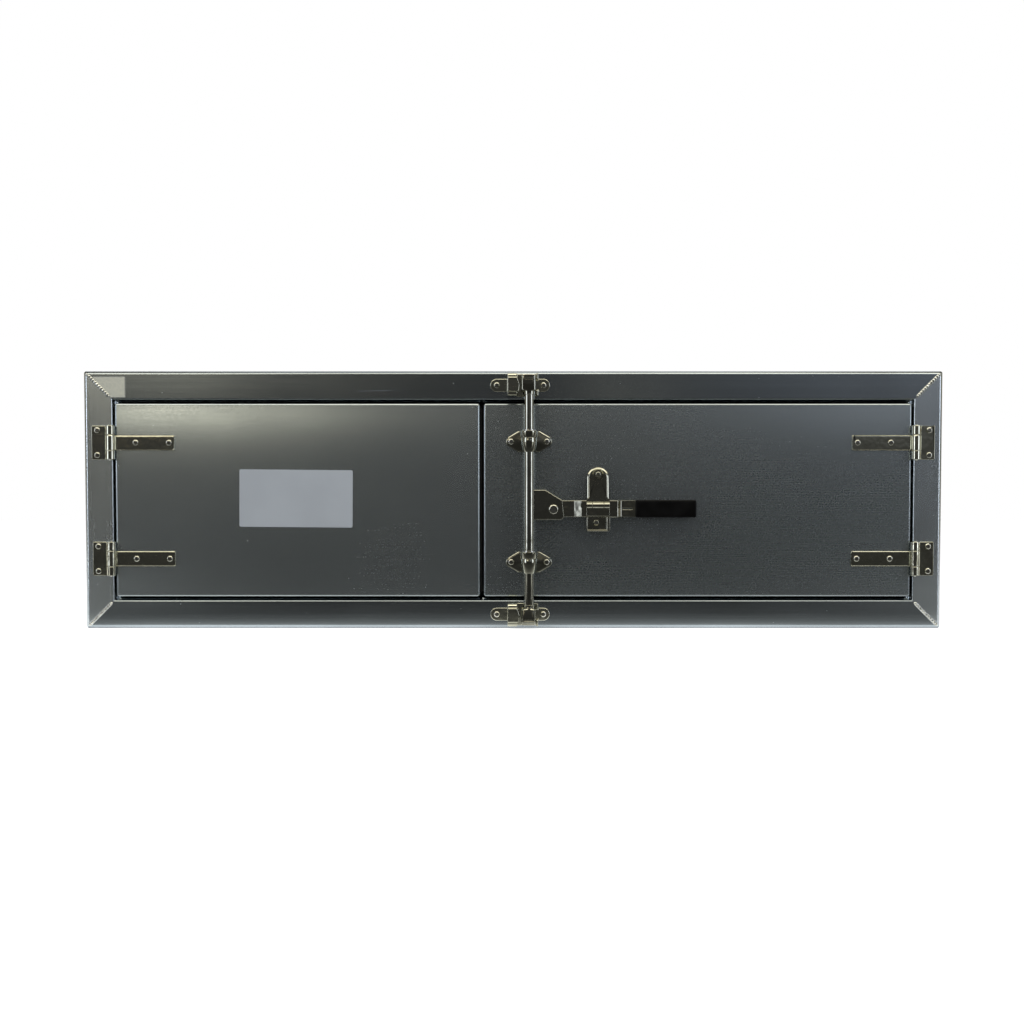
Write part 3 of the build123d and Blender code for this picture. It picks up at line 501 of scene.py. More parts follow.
def coated(name, colour, second_colour, roughness, scale, height, specular=0.5):
    """A non-metal: its colour and roughness drift with one noise, and a finer one raises its skin."""
    material, tree, shader, coordinates = new_material(name)
    shader.inputs["Specular IOR Level"].default_value = specular
    drift = add_node(tree, "ShaderNodeTexNoise", {"Vector": coordinates, "Scale": scale, "Detail": 4.0})
    tint = mix_colours(tree, ramp(tree, drift.outputs[0], 0.35, 0.65), colour, second_colour)
    tree.links.new(tint, shader.inputs[0])
    rough = ramp(tree, drift.outputs[0], 0.3, 0.7, roughness - 0.06, roughness + 0.06)
    tree.links.new(rough, shader.inputs["Roughness"])
    skin = add_node(tree, "ShaderNodeTexNoise", {"Vector": coordinates, "Scale": scale * 25, "Detail": 2.0})
    raised = math_node(tree, "MULTIPLY", skin.outputs[0], height)
    bump = add_node(tree, "ShaderNodeBump", {"Height": raised, "Strength": 1.0, "Distance": 1.0})
    tree.links.new(bump.outputs["Normal"], shader.inputs["Normal"])
    return material


finishes["seal_rubber"] = coated(
    "seal_rubber", (0.003, 0.003, 0.003, 1), (0.008, 0.008, 0.008, 1), 0.75, 60, 2e-5, specular=0.15
)
finishes["label_vinyl"] = coated(
    "label_vinyl", (0.27, 0.293, 0.318, 1), (0.25, 0.272, 0.296, 1), 0.42, 9, 4e-6
)
finishes["grip_plastic"] = coated(
    "grip_plastic", (0.002, 0.002, 0.002, 1), (0.003, 0.003, 0.003, 1), 0.34, 40, 4e-6, specular=0.08
)
print("all finishes:", len(finishes))

# %% [markdown]
# ## Which finish goes where
# The record lists the material slots. Each node below takes the finish of its slot. The rails and the stiles
# share a slot, but the grain runs along each of them, so the uprights have a metal of their own, turned, and
# with a much lighter base colour: painted sheen, a lit copy of the rails' metal for the light that upright
# grain catches from the sides. The straps have the hinges' metal with one thing added, the rolled top edge of
# the upper pair.

# %% Assign finishes
slot_finish = {
    "frame_aluminium": "rail_metal",
    "weld_metal": "weld_metal",
    "shell_aluminium": "shell_metal",
    "left_door_aluminium": "left_door_metal",
    "right_door_aluminium": "right_door_metal",
    "inner_aluminium": "inner_metal",
    "seal_rubber": "seal_rubber",
    "label_vinyl": "label_vinyl",
    "grip_plastic": "grip_plastic",
    "hinge_steel": "hinge_metal",
    "pin_steel": "bolt_metal",
    "bolt_steel": "bolt_metal",
    "keeper_steel": "hinge_metal",
    "guide_steel": "polished_steel",
    "bushing_steel": "slide_metal",
    "rod_steel": "rod_metal",
    "handle_steel": "polished_steel",
    "hasp_steel": "polished_steel",
    "slide_steel": "slide_metal",
}
node_slot = {entry["node"]: entry["material_slot"] for entry in frame["record"]["subparts"]}
print("slots of nodes:", len(node_slot))


def finish_of(name):
    """The finish that a node takes."""
    if "stile" in name:
        return finishes["stile_painted_sheen_metal"]
    if "hinge_strap" in name:
        return finishes["strap_metal"]
    return finishes[slot_finish[node_slot[name]]]


for name, obj in nodes.items():
    obj.data.materials.clear()
    obj.data.materials.append(finish_of(name))

# %% [markdown]
# ## Eased edges
# No real edge is perfectly sharp. A press tool, a file or a polishing wheel leaves a small round,
# and on polished steel that round is where the highlights are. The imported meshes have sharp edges
# and loose triangles, so the hinges, the keepers and the lock's plain fittings are copied, their
# triangles are merged back into flat faces, and a bevel modifier rounds what is left.

# %% Eased copies


def eased(name, width, segments=3, angle=32.0):
    """A copy of a node with its sharp edges rounded by width metres. It stands for the node."""
    mesh = nodes[name].data.copy()
    mesh.name = f"{name}_eased"
    work = bmesh.new()
    work.from_mesh(mesh)
    bmesh.ops.remove_doubles(work, verts=work.verts, dist=2e-6)
    bmesh.ops.dissolve_limit(
        work, angle_limit=math.radians(0.4), verts=work.verts, edges=work.edges, use_dissolve_boundaries=False
    )
    for face in work.faces:
        face.smooth = True
    for edge in work.edges:
        edge.smooth = len(edge.link_faces) != 2 or edge.calc_face_angle(0.0) < math.radians(angle)
    work.to_mesh(mesh)
    work.free()
    piece = bpy.data.objects.new(f"{name}_eased", mesh)
    bpy.context.scene.collection.objects.link(piece)
    bevel = piece.modifiers.new("eased_edges", "BEVEL")
    bevel.width = width
    bevel.segments = segments
    bevel.limit_method = "ANGLE"
    bevel.angle_limit = math.radians(angle)
    bevel.harden_normals = True
    bevel.use_clamp_overlap = False
    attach(piece, body_of_node[name])
    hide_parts(name)
    return piece


eased_widths = {}
for side in ("left", "right"):
    for end in ("lower", "upper"):
        eased_widths[f"{side}_{end}_hinge_leaf"] = 0.0009
        eased_widths[f"{side}_{end}_hinge_strap"] = 0.0009
for end in ("bottom", "top"):
    eased_widths[f"{end}_keeper"] = 0.0012
eased_widths.update(handle_hub=0.0012, handle_bar=0.0010, hasp_leaf=0.0006, retainer_base=0.0010)
eased_pieces = {name: eased(name, width) for name, width in eased_widths.items()}
print("eased pieces:", len(eased_pieces))

# %% [markdown]
# ## Surfaces from arrays
# The new pieces are rings of points carried along a line. All the points are worked out at once as
# one array, ring by ring, and a second array lists the four corners of each face. The two ends are
# closed by a single point each, so the mesh has no hole.

# %% Tube builder


def tube_mesh(name, rings):
    """A closed mesh through rings, an array of stations by points by 3, with both ends closed."""
    stations, around, _ = rings.shape
    points = np.concatenate([rings.reshape(-1, 3), rings[0].mean(0)[None], rings[-1].mean(0)[None]])
    row = np.arange(stations - 1)[:, None] * around
    here = np.arange(around)[None, :]
    following = (here + 1) % around
    quads = np.stack([row + here, row + following, row + around + following, row + around + here], -1)
    quads = quads.reshape(-1, 4)
    first, last = stations * around, stations * around + 1
    end_row = (stations - 1) * around
    start_fan = np.stack([np.full(around, first), following[0], here[0]], -1)
    end_fan = np.stack([np.full(around, last), end_row + here[0], end_row + following[0]], -1)
    mesh = bpy.data.meshes.new(name)
    mesh.from_pydata(points.tolist(), [], quads.tolist() + start_fan.tolist() + end_fan.tolist())
    mesh.update()
    work = bmesh.new()
    work.from_mesh(mesh)
    bmesh.ops.recalc_face_normals(work, faces=work.faces)
    work.to_mesh(mesh)
    work.free()
    mesh.shade_smooth()
    return mesh


def new_piece(name, mesh, material, body, replaced=()):
    """A finished piece: its mesh and finish, the body it rides on and the nodes that it stands for."""
    piece = bpy.data.objects.new(name, mesh)
    bpy.context.scene.collection.objects.link(piece)
    mesh.materials.append(material)
    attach(piece, body)
    if replaced:
        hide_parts(*replaced)
    return piece


# %% [markdown]
# ## Weld beads
# Each corner of the frame is two mitred rails joined by one run of weld. The welder stopped for a
# moment every few millimetres, and each stop left a crescent, like a row of coins laid down.
# A noise bump would only look rough, so the crescents are real: the height of the bead is a row
# of arcs that bend forward in the middle.

# %% Corner weld beads
bead_rows, bead_around = 260, 28
bead_pitch = 0.0050
bead_half_width = 0.0032
bead_crown = 0.0019
bead_root = 0.0004


def bead_rings(centre_x, centre_z, along_x, along_z, length, seed):
    """Rings of one bead. Height = crown x rise^0.8 x (0.42 + 0.58 x square root of dip).

    dip = |sine along the bead|, 0 between two coins and 1 in the middle of one."""
    chance = np.random.default_rng(seed)
    s = np.linspace(-0.5, 0.5, bead_rows)[:, None]
    turn = np.linspace(0, 2 * np.pi, bead_around, endpoint=False)[None, :]
    across = np.cos(turn)
    rise = np.sin(turn)
    coins = s * length / bead_pitch + 0.55 * across**2
    steps = chance.normal(0.0, 0.06, 64)
    wobble = np.interp(coins, np.linspace(coins.min(), coins.max(), 64), steps)
    dip = np.abs(np.sin(np.pi * (coins + wobble)))
    crown = 0.42 + 0.58 * dip**0.5
    ends = np.clip((0.5 - np.abs(s)) * length / 0.0035, 0, 1) ** 0.5
    drift = 1 + 0.05 * np.interp(s, np.linspace(-0.5, 0.5, 64), steps * 8)
    widths = bead_half_width * (0.93 + 0.07 * dip) * drift
    sideways = across * widths * ends
    height = np.where(rise > 0, bead_crown * rise**0.8 * crown * ends, -bead_root)
    x = centre_x + s * length * along_x - sideways * along_z
    z = centre_z + s * length * along_z + sideways * along_x
    return np.stack([x, front_y - height, z], -1)


frame_half = 0.762
frame_tall = 0.4572
rail_half = 0.0254
bead_length = 0.0595
bead_work = bmesh.new()
diagonal = math.sqrt(0.5)
for number, (side, end) in enumerate(((-1, -1), (-1, 1), (1, -1), (1, 1))):
    rings = bead_rings(
        side * (frame_half - rail_half),
        frame_tall / 2 + end * (frame_tall / 2 - rail_half),
        side * diagonal,
        end * diagonal,
        bead_length,
        number + 5,
    )
    bead = tube_mesh("one_bead", rings)
    bead_work.from_mesh(bead)
    bpy.data.meshes.remove(bead)
bead_mesh = bpy.data.meshes.new("weld_beads")
bead_work.to_mesh(bead_mesh)
bead_work.free()
bead_mesh.shade_smooth()
weld_beads = new_piece(
    "weld_beads", bead_mesh, finishes["weld_metal"], "cabinet", ["corner_welds"]
)
print("weld beads:", len(bead_mesh.polygons), "faces")

# %% [markdown]
# ## The grip
# A sleeve of soft plastic is pushed over the end of the handle bar. Its section is a rectangle with
# generous rounds, which a superellipse gives in one formula, and both ends roll over.

# %% Handle grip
grip_low, grip_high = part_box("handle_grip")
grip_centre = (grip_low + grip_high) / 2
grip_half = (grip_high - grip_low) / 2
grip_roll = 0.0032
grip_power = 7


def grip_rings():
    """Rings of the grip. Section = superellipse of power 7, drawn in at both ends by a round."""
    angle = np.linspace(0, np.pi / 2, 9)
    left = grip_low.x + grip_roll * (1 - np.cos(angle))
    middle = np.linspace(grip_low.x + grip_roll, grip_high.x - grip_roll, 22)[1:-1]
    right = grip_high.x - grip_roll * (1 - np.cos(angle[::-1]))
    x = np.concatenate([left, middle, right])
    end_inset = grip_roll * (1 - np.sin(angle))
    inset = np.concatenate([end_inset, np.zeros(len(middle)), end_inset[::-1]])
    turn = np.linspace(0, 2 * np.pi, 72, endpoint=False)
    power = 2 / grip_power
    across = np.sign(np.cos(turn)) * np.abs(np.cos(turn)) ** power
    rise = np.sign(np.sin(turn)) * np.abs(np.sin(turn)) ** power
    y = grip_centre.y + across[None, :] * (grip_half.y - inset[:, None])
    z = grip_centre.z + rise[None, :] * (grip_half.z - inset[:, None])
    return np.stack([np.broadcast_to(x[:, None], y.shape), y, z], -1)


moulded_grip = new_piece(
    "moulded_grip",
    tube_mesh("moulded_grip", grip_rings()),
    finishes["grip_plastic"],
    "handle",
    ["handle_grip"],
)
print("grip:", len(moulded_grip.data.polygons), "faces")

# %% [markdown]
# ## Walls that come back on themselves
# A flap with a hole, a bushing and a cast saddle all have an outside and an inside. Their rings go
# up the outside and come back down the inside, so the last ring joins the first and nothing is open.

# %% Loop builder
mm = 0.001


def loop_mesh(name, rings, sharp=38.0):
    """A closed mesh through rings, stations by points by 3, where the last ring joins the first."""
    stations, around, _ = rings.shape
    row = np.arange(stations)[:, None] * around
    next_row = (np.arange(stations)[:, None] + 1) % stations * around
    here = np.arange(around)[None, :]
    following = (here + 1) % around
    quads = np.stack([row + here, row + following, next_row + following, next_row + here], -1)
    mesh = bpy.data.meshes.new(name)
    mesh.from_pydata(rings.reshape(-1, 3).tolist(), [], quads.reshape(-1, 4).tolist())
    mesh.update()
    work = bmesh.new()
    work.from_mesh(mesh)
    bmesh.ops.recalc_face_normals(work, faces=work.faces)
    work.to_mesh(mesh)
    work.free()
    mesh.shade_smooth()
    mesh.set_sharp_from_angle(angle=math.radians(sharp))
    return mesh


def joined(name, meshes):
    """One mesh made of several, which keeps their sharp edges."""
    work = bmesh.new()
    for mesh in meshes:
        work.from_mesh(mesh)
        bpy.data.meshes.remove(mesh)
    whole = bpy.data.meshes.new(name)
    work.to_mesh(whole)
    work.free()
    return whole


def resampled(points, count):
    """A closed outline, points by 2, redrawn with count points an equal way apart."""
    closed = np.concatenate([points, points[:1]])
    step = np.linalg.norm(np.diff(closed, axis=0), axis=1)
    way = np.concatenate([[0.0], np.cumsum(step)])
    place = np.linspace(0, way[-1], count, endpoint=False)
    return np.stack([np.interp(place, way, closed[:, 0]), np.interp(place, way, closed[:, 1])], -1)


def drawn_in(outline, amount):
    """The outline moved inwards by amount, one number or one for each point."""
    along = np.roll(outline, -1, axis=0) - np.roll(outline, 1, axis=0)
    along = along / np.linalg.norm(along, axis=1, keepdims=True)
    inward = np.stack([-along[:, 1], along[:, 0]], -1)
    return outline + inward * np.broadcast_to(amount, len(outline))[:, None]


def turned_wall(centre, along, sideways, profile, count=48):
    """Rings of a turned wall. Its profile is a closed list of (millimetres along the axis, radius)."""
    turn = np.linspace(0, 2 * np.pi, count, endpoint=False)
    along, sideways = np.array(along), np.array(sideways)
    ring = np.cos(turn)[:, None] * sideways + np.sin(turn)[:, None] * np.cross(along, sideways)
    return np.stack([np.array(centre) + mm * place * along + mm * radius * ring for place, radius in profile])


# %% [markdown]
# ## The flap of the hasp
# It is pressed from sheet. Its rim isn't a square step: the press rolled it, so its outer side
# slopes by some 25 degrees, and that slope is what mirrors the upright lamps as two white lines.

# %% Hasp flap
pin_low, pin_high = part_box("hasp_pin")
hasp_centre = (pin_low + pin_high) / 2
flap_lean = math.radians(10.5)
flap_half_width, flap_flare, flap_neck = 19.0, 21.0, 10.0
flap_foot, flap_flare_top, flap_tall = 6.3, 13.3, 68.0
flap_face = 1.25
hole_radius = 8.5
hole_rise = 54.3 / math.cos(flap_lean)
flap_count = 240


def on_flap(outline, front):
    """Points on the leaning flap: place = axis + across x X + up x lean + front x normal, in mm."""
    across, up = outline[:, 0], outline[:, 1]
    y = hasp_centre.y + mm * (up * math.sin(flap_lean) - front * math.cos(flap_lean))
    z = hasp_centre.z + mm * (up * math.cos(flap_lean) + front * math.sin(flap_lean))
    return np.stack([hasp_centre.x + mm * across, y, z], -1)


arc = np.linspace(0, np.pi, 41)
arc_centre = flap_tall - flap_half_width
arc_points = np.stack([flap_half_width * np.cos(arc), arc_centre + flap_half_width * np.sin(arc)], -1)
right_side = [
    (flap_neck, 3.2), (flap_neck, flap_foot), (flap_flare, flap_foot), (flap_half_width, flap_flare_top)
]
left_side = [(-x, up) for x, up in right_side[::-1]]
flap_outline = resampled(np.concatenate([right_side, arc_points, left_side]), flap_count)
hole_turn = np.arctan2(flap_outline[:, 1] - hole_rise, flap_outline[:, 0])
hole_turned = np.stack([np.cos(hole_turn), np.sin(hole_turn)], -1)
rim_share = np.clip((flap_outline[:, 1] - 9) / 6, 0, 1)
rim_share = rim_share * rim_share * (3 - 2 * rim_share)
inset_share = 0.05 + 0.95 * rim_share
flap_loops = [
    (flap_outline, -flap_face),
    (flap_outline, flap_face - 0.25),
    (drawn_in(flap_outline, 0.25), flap_face - 0.05),
    (drawn_in(flap_outline, 2.5 * inset_share), flap_face + 1.0 * rim_share),
    (drawn_in(flap_outline, 2.9 * inset_share), flap_face + 1.05 * rim_share),
    (drawn_in(flap_outline, 3.4 * inset_share), flap_face + 0.8 * rim_share),
    (drawn_in(flap_outline, 4.3 * inset_share), flap_face),
    (drawn_in(flap_outline, 4.7 * inset_share), flap_face),
    (hole_turned * (hole_radius + 1.3) + (0, hole_rise), flap_face),
    (hole_turned * (hole_radius + 0.8) + (0, hole_rise), flap_face),
    (hole_turned * hole_radius + (0, hole_rise), flap_face - 0.6),
    (hole_turned * hole_radius + (0, hole_rise), -flap_face),
]
flap_rings = np.stack([on_flap(outline, np.broadcast_to(front, flap_count)) for outline, front in flap_loops])
barrel_profile = [(-10, 5.5), (-9.5, 6), (9.5, 6), (10, 5.5), (10, 2.7), (-10, 2.7)]
barrel_rings = turned_wall(hasp_centre, (1, 0, 0), (0, 1, 0), barrel_profile)
flap_parts = [loop_mesh("flap_plate", flap_rings, 26.0), loop_mesh("flap_barrel", barrel_rings)]
pressed_flap = new_piece(
    "pressed_flap",
    joined("pressed_flap", flap_parts),
    finishes["polished_steel"],
    "hasp",
    ["hasp_flap"],
)
print("flap:", len(pressed_flap.data.polygons), "faces")

# %% [markdown]
# ## Cast rod guides
# Each guide is one casting: a diamond base with a low dome, and a saddle round the rod with a
# square-shouldered collar above and a bowl below that narrows toward the rod. The saddle's section
# is a circle in front and straight legs behind, worked out in each direction from the rod's axis.

# %% Rod guides
rod_low, rod_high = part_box("lock_rod")
rod_centre = (rod_low + rod_high) / 2
rod_ahead = (front_y - rod_centre.y) / mm
guide_half_top = 19.0
guide_bolt_reach = 31.5
guide_end_radius = 9.5
saddle_seat = 3.0
guide_steps = [
    (1.0, 0.0), (1.0, 2.4), (0.985, 3.2), (0.95, 3.8), (0.86, 4.1),
    (0.7, 4.2), (0.45, 5.0), (0.25, 5.6), (0.08, 5.8)
]
saddle_outside = [
    (18.0, 12.4), (18.3, 14.7), (17.6, 15.5), (7.6, 15.5), (6.9, 15.1), (6.4, 14.2), (5.8, 14.5),
    (-1.0, 14.4), (-7.0, 13.8), (-12.0, 12.8), (-16.0, 11.6), (-18.5, 10.9), (-19.3, 10.4)
]
saddle_inside = [(-19.3, 9.9), (3.5, 9.9), (3.5, 11.9), (18.0, 11.9)]


def diamond(half_top, half_tall, bolt_reach, end_radius, count=160):
    """Outline of a base plate: two flats joined to two round ends by straight tangents."""
    reach = math.hypot(bolt_reach - half_top, half_tall)
    touch = math.atan2(half_tall, half_top - bolt_reach) - math.acos(end_radius / reach)
    sweep = np.linspace(-touch, touch, 33)
    end = np.stack([bolt_reach + end_radius * np.cos(sweep), end_radius * np.sin(sweep)], -1)
    right = np.concatenate([[(half_top, -half_tall)], end, [(half_top, half_tall)]])
    return resampled(np.concatenate([right, -right]), count)


def saddle_ring(radius, place, inside, count=96):
    """One ring of the saddle: radius in front, min(radius / |side|, way to the base / |back|) behind."""
    turn = np.linspace(0, 2 * np.pi, count, endpoint=False)
    side, front = np.sin(turn), np.cos(turn)
    to_side = radius / np.maximum(np.abs(side), 1e-9)
    to_base = (rod_ahead - saddle_seat) / np.maximum(np.abs(front), 1e-9)
    legs = np.minimum(to_side, to_base)
    reach = radius if inside else np.where(front > 0, radius, legs)
    return np.stack([side * reach, -front * reach, np.full(count, place)], -1)


def cast_guide(name):
    """One guide in the place of its node: a domed base, and the saddle around the rod."""
    low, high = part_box(name)
    middle_z = (low.z + high.z) / 2
    half_tall = (high.z - low.z) / 2 / mm
    outline = diamond(guide_half_top, half_tall, guide_bolt_reach, guide_end_radius)
    base_rings = np.stack(
        [
            np.stack(
                [
                    rod_centre.x + mm * outline[:, 0] * share,
                    np.full(len(outline), front_y - mm * front),
                    middle_z + mm * outline[:, 1] * share,
                ],
                -1,
            )
            for share, front in guide_steps
        ]
    )
    rings = [saddle_ring(radius, place, False) for place, radius in saddle_outside]
    rings += [saddle_ring(radius, place, True) for place, radius in saddle_inside]
    saddle_rings = np.stack(rings) * mm + np.array([rod_centre.x, rod_centre.y, middle_z])
    base = tube_mesh("guide_base", base_rings)
    base.set_sharp_from_angle(angle=math.radians(30))
    whole = joined(f"cast_{name}", [base, loop_mesh("guide_saddle", saddle_rings, 30.0)])
    return new_piece(f"cast_{name}", whole, finishes["polished_steel"], "right_door", [name])


cast_guides = [cast_guide("lower_guide"), cast_guide("upper_guide")]
bushing_profile = [(4, 9.65), (20.4, 9.65), (20.8, 10.2), (20.4, 11.6), (18.2, 11.8), (4, 11.8)]
bushing_walls = []
for name in ("lower_guide", "upper_guide"):
    low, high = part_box(name)
    place = (rod_centre.x, rod_centre.y, (low.z + high.z) / 2)
    bushing_walls.append(loop_mesh("bushing", turned_wall(place, (0, 0, 1), (1, 0, 0), bushing_profile)))
turned_bushings = new_piece(
    "turned_bushings",
    joined("turned_bushings", bushing_walls),
    finishes["slide_metal"],
    "right_door",
    ["guide_bushings"],
)
print("guide:", len(cast_guides[0].data.polygons), "faces each")

# %% [markdown]
# ## Cams at the ends of the rod
# A cam is a casting welded over the rod's end: a round collar, then a square-shouldered block that
# reaches further to the left, where it bears on the keeper. The corner that swings past the small
# jaws when the rod turns stays round and inside their reach.

# %% Rod cams
cam_steps = [
    (-18.0, 9.8, 0), (-17.3, 10.6, 0), (-12.0, 10.6, 0), (-10.6, 11.0, 0.6), (-9.2, 11.5, 1), (8.2, 11.5, 1),
    (9.0, 10.8, 1), (10.2, 10.8, 1), (11.0, 11.5, 1), (15.6, 11.5, 1), (17.4, 10.9, 0.9), (18.0, 9.6, 0.7)
]


def cam_ring(middle_z, outward, place, radius, squareness, count=96):
    """One ring: a circle where squareness is 0, and a superellipse of power 7 where it is 1.

    Reach = radius x (|cos|^p + |sin|^p)^(-1/p), longer to the left, and always round at the back right."""
    turn = np.linspace(0, 2 * np.pi, count, endpoint=False)
    side, front = np.cos(turn), np.sin(turn)
    power = np.where((side > 0) & (front < 0), 2.0, 2.0 + 5.0 * squareness)
    reach = radius * (np.abs(side) ** power + np.abs(front) ** power) ** (-1 / power)
    left = np.where(side < 0, 1.0 + 0.22 * squareness, 1.0)
    x = rod_centre.x + mm * reach * side * left
    y = rod_centre.y - mm * reach * front
    return np.stack([x, y, np.full(count, middle_z + mm * outward * place)], -1)


def cast_cam(name, outward):
    """The cam in the place of its node. outward is 1 at the top and -1 at the bottom."""
    low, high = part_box(name)
    rings = [cam_ring((low.z + high.z) / 2, outward, *step) for step in cam_steps]
    mesh = tube_mesh(f"cast_{name}", np.stack(rings))
    mesh.set_sharp_from_angle(angle=math.radians(30))
    return new_piece(f"cast_{name}", mesh, finishes["polished_steel"], "lock_rod", [name])


cast_cams = [cast_cam("bottom_cam", -1), cast_cam("top_cam", 1)]
print("cam:", len(cast_cams[0].data.polygons), "faces each")

# %% [markdown]
# ## The studio
# The box stands on a pale floor in a white room. Three soft lamps light it, two in front at the
# sides and one above.
# What makes this metal look as it does in the photograph is what it mirrors: the room behind
# the camera was dark, with one pale patch high on the left, two upright lamps and a band of lamps
# overhead. That side is a card that only reflections see, and the lamps that give the light are
# kept out of them. The card's tone is worked out from direction alone and kept as a colour on it.

# %% Reflection card
card_radius = 5.0


def soft_box(value, low, high, soft):
    """1 between low and high, 0 outside, with a slope as wide as soft at each end."""
    rise = np.clip((value - low) / soft + 0.5, 0, 1)
    fall = np.clip((high - value) / soft + 0.5, 0, 1)
    return rise * rise * (3 - 2 * rise) * fall * fall * (3 - 2 * fall)


def card_tone(azimuth, elevation, across):
    """Colour of the card in a direction, in degrees from straight ahead of the box, left negative.

    Colour = dark room + warm pale patch on the left + a fainter one on the right + two upright
    lamps at the sides + a row of lamps overhead + a warm ceiling, lit on the right + a narrow warm
    column + the dim walls far out. across is X."""
    side = np.abs(azimuth)
    patch = 1.15 * np.exp(-(((azimuth + 25) / 13) ** 2)) + 2.4 * np.exp(-(((azimuth + 18) / 3.2) ** 2))
    patch = patch * np.exp(-(((elevation - 15) / 4.8) ** 2))
    faint = 0.5 * np.exp(-(((azimuth - 24) / 11) ** 2) - ((elevation - 13) / 6) ** 2)
    upright_lamps = 2.7 * soft_box(side, 45, 64, 5) * soft_box(elevation, -9, 27, 8)
    lamp_row = 2.8 * soft_box(elevation, 36, 64, 6) * soft_box(side, -60, 75, 10)
    ceiling = soft_box(elevation, 66, 120, 8) * (0.3 + 0.9 * soft_box(across, -0.5, 9, 1.2))
    column = 0.14 * np.exp(-(((azimuth - 6) / 1.8) ** 2)) * soft_box(elevation, 1.5, 12, 2)
    walls = 0.26 * np.clip((side - 70) / 15, 0, 1) * soft_box(elevation, -60, 50, 12)
    warm = np.array([1.10, 1.0, 0.78])
    cool = np.array([0.95, 1.0, 1.12])
    warm_part = patch + 0.8 * lamp_row + ceiling + column + walls
    return 0.05 + warm_part[..., None] * warm + (faint + upright_lamps + 0.2 * lamp_row)[..., None] * cool


def grid_mesh(name, points):
    """A mesh through a grid of points, an array of rows by columns by 3."""
    rows, columns, _ = points.shape
    start = (np.arange(rows - 1)[:, None] * columns + np.arange(columns - 1)[None, :]).reshape(-1)
    quads = np.stack([start, start + 1, start + columns + 1, start + columns], -1)
    mesh = bpy.data.meshes.new(name)
    mesh.from_pydata(points.reshape(-1, 3).tolist(), [], quads.tolist())
    mesh.update()
    return mesh


azimuth_grid, elevation_grid = np.meshgrid(np.linspace(-150, 150, 201), np.linspace(-3, 89, 93))
turn_grid, tilt_grid = np.radians(azimuth_grid), np.radians(elevation_grid)
card_points = np.stack(
    [
        card_radius * np.sin(turn_grid) * np.cos(tilt_grid),
        front_y - card_radius * np.cos(turn_grid) * np.cos(tilt_grid),
        middle_height + card_radius * np.sin(tilt_grid),
    ],
    -1,
)
card_mesh = grid_mesh("reflection_card", card_points)


def set_tones(mesh, colours):
    """Store one colour for each point of a mesh."""
    rgb = colours.reshape(-1, 3)
    rgba = np.concatenate([rgb, np.ones((len(rgb), 1))], 1).astype(np.float32)
    mesh.color_attributes.new("tone", "FLOAT_COLOR", "POINT").data.foreach_set("color", rgba.reshape(-1))


tone = card_tone(azimuth_grid, elevation_grid, card_points[..., 0])
set_tones(card_mesh, tone)

card_material = bpy.data.materials.new("reflection_card")
card_material.use_nodes = True
card_tree = card_material.node_tree
card_tree.nodes.clear()
tone_node = add_node(card_tree, "ShaderNodeAttribute", attribute_name="tone")
card_glow = add_node(card_tree, "ShaderNodeEmission", {"Color": tone_node.outputs["Color"], "Strength": 1.0})
add_node(card_tree, "ShaderNodeOutputMaterial", {"Surface": card_glow.outputs[0]})


def reflection_only(obj):
    """Only reflections see this object: not the camera, and not the light on the floor or the box."""
    obj.visible_camera = False
    obj.visible_diffuse = False
    obj.visible_shadow = False
    obj.visible_transmission = False
    obj.visible_volume_scatter = False


card = bpy.data.objects.new("reflection_card", card_mesh)
card_mesh.materials.append(card_material)
bpy.context.scene.collection.objects.link(card)
reflection_only(card)
print("card tones from", round(float(tone.min()), 3), "to", round(float(tone.max()), 3))

# %% [markdown]
# ## The floor in the reflections
# The lower parts of the box mirror the ground in front of it: bright right at the foot, then dark,
# with a glint of each upright lamp. A tinted floor would show to the camera as well, so this is a
# second card, a hair above the floor, that only reflections see.

# %% Floor card
near_edge, far_edge = front_y - 0.03, front_y - card_radius
lane_x, lane_y = np.meshgrid(np.linspace(-4.5, 4.5, 41), np.linspace(near_edge, far_edge, 161))
lane_mesh = grid_mesh("floor_card", np.stack([lane_x, lane_y, np.full_like(lane_x, 0.0006)], -1))
away = np.clip((near_edge - lane_y) / 0.3, 0, 1)
lane_angle = np.degrees(np.arctan2(np.abs(lane_x), front_y - lane_y))
lamp_glints = 0.8 * soft_box(lane_angle, 46, 63, 5) * np.clip((-0.7 - lane_y) / 0.5, 0, 1)
near_glow = 0.06 * np.exp(-(((near_edge - lane_y) / 0.5) ** 2))
lane_tone = 0.8 * (1 - away) ** 3 + 0.038 + near_glow + lamp_glints
set_tones(lane_mesh, np.stack([lane_tone, lane_tone, lane_tone * 0.95], -1))
lane = bpy.data.objects.new("floor_card", lane_mesh)
lane_mesh.materials.append(card_material)
bpy.context.scene.collection.objects.link(lane)
reflection_only(lane)
print("floor tones from", round(float(lane_tone.min()), 3), "to", round(float(lane_tone.max()), 3))

# %% [markdown]
# ## Floor, room and lamps
# The floor is pale and keeps a soft shadow of the box. Seen by the camera and in reflections the
# room is plain white, while the light that it gives is lower, so that colours render as written.

# %% Floor


def seen_directly(tree):
    """1 for camera, glossy and transmission rays, and 0 for the rays that carry light."""
    path = add_node(tree, "ShaderNodeLightPath")
    seen = math_node(tree, "MAXIMUM", path.outputs["Is Camera Ray"], path.outputs["Is Glossy Ray"])
    return math_node(tree, "MAXIMUM", seen, path.outputs["Is Transmission Ray"])


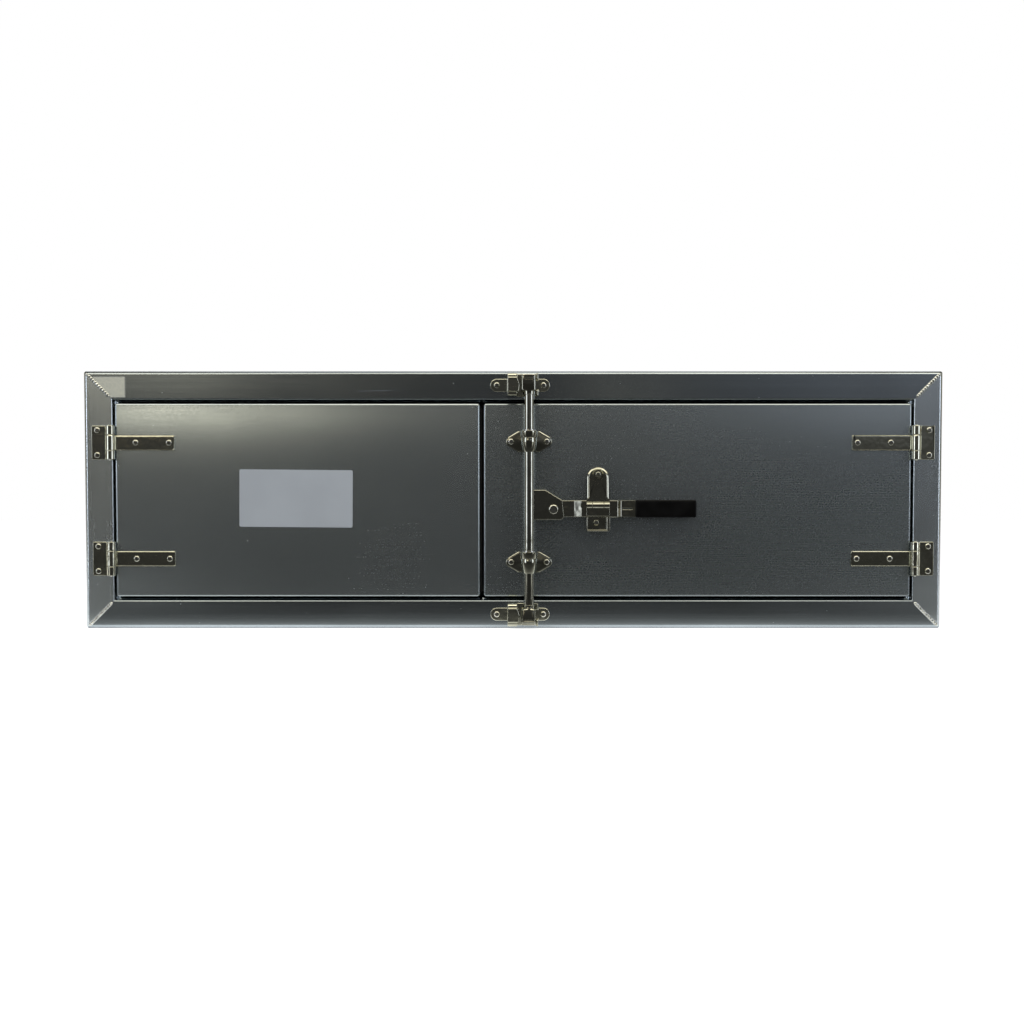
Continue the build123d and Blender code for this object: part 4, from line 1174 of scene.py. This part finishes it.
floor_material = bpy.data.materials.new("pale_floor")
floor_material.use_nodes = True
floor_tree = floor_material.node_tree
floor_tree.nodes.clear()
floor_shader = add_node(floor_tree, "ShaderNodeBsdfDiffuse", {"Color": (0.62, 0.62, 0.62, 1.0)})
floor_glow = add_node(floor_tree, "ShaderNodeEmission", {"Color": (1.0, 1.0, 1.0, 1.0), "Strength": 0.76})
floor_sum = add_node(
    floor_tree, "ShaderNodeAddShader", {0: floor_shader.outputs[0], 1: floor_glow.outputs[0]}
)
seen = seen_directly(floor_tree)
floor_mix = add_node(
    floor_tree, "ShaderNodeMixShader", {0: seen, 1: floor_shader.outputs[0], 2: floor_sum.outputs[0]}
)
add_node(floor_tree, "ShaderNodeOutputMaterial", {"Surface": floor_mix.outputs[0]})
floor_x, floor_y = np.meshgrid(np.linspace(-15, 15, 3), np.linspace(-15, 15, 3))
floor_mesh = grid_mesh("floor", np.stack([floor_x, floor_y, np.zeros_like(floor_x)], -1))
floor = bpy.data.objects.new("floor", floor_mesh)
floor_mesh.materials.append(floor_material)
bpy.context.scene.collection.objects.link(floor)
print("floor:", len(floor_mesh.polygons), "faces")

# %% Room and lamps
scene = bpy.context.scene
room = bpy.data.worlds.new("white_room")
scene.world = room
room.use_nodes = True
room_tree = room.node_tree
room_tree.nodes.clear()
room_seen = seen_directly(room_tree)
room_strength = math_node(room_tree, "ADD", math_node(room_tree, "MULTIPLY", room_seen, 0.55), 0.45)
room_light = add_node(
    room_tree, "ShaderNodeBackground", {"Color": (1.0, 1.0, 1.0, 1.0), "Strength": room_strength}
)
add_node(room_tree, "ShaderNodeOutputWorld", {"Surface": room_light.outputs[0]})


def soft_lamp(name, place, target, wide, tall, watts):
    """A rectangular soft lamp at a place, turned to face a target."""
    data = bpy.data.lights.new(name, "AREA")
    data.shape = "RECTANGLE"
    data.size, data.size_y = wide, tall
    data.energy = watts
    lamp = bpy.data.objects.new(name, data)
    lamp.visible_glossy = False
    lamp.location = place
    lamp.rotation_euler = (Vector(target) - Vector(place)).to_track_quat("-Z", "Y").to_euler()
    scene.collection.objects.link(lamp)


soft_lamp("left_softbox", (-1.95, front_y - 1.5, 1.35), (0, front_y, 0.25), 0.45, 1.9, 30)
soft_lamp("right_softbox", (1.95, front_y - 1.5, 1.35), (0, front_y, 0.25), 0.45, 1.9, 30)
soft_lamp("overhead_softbox", (-0.4, -1.0, 2.3), (0, -0.1, 0.2), 1.4, 0.6, 18)
scene.view_settings.view_transform = "Standard"

# %% End
print("scene built")
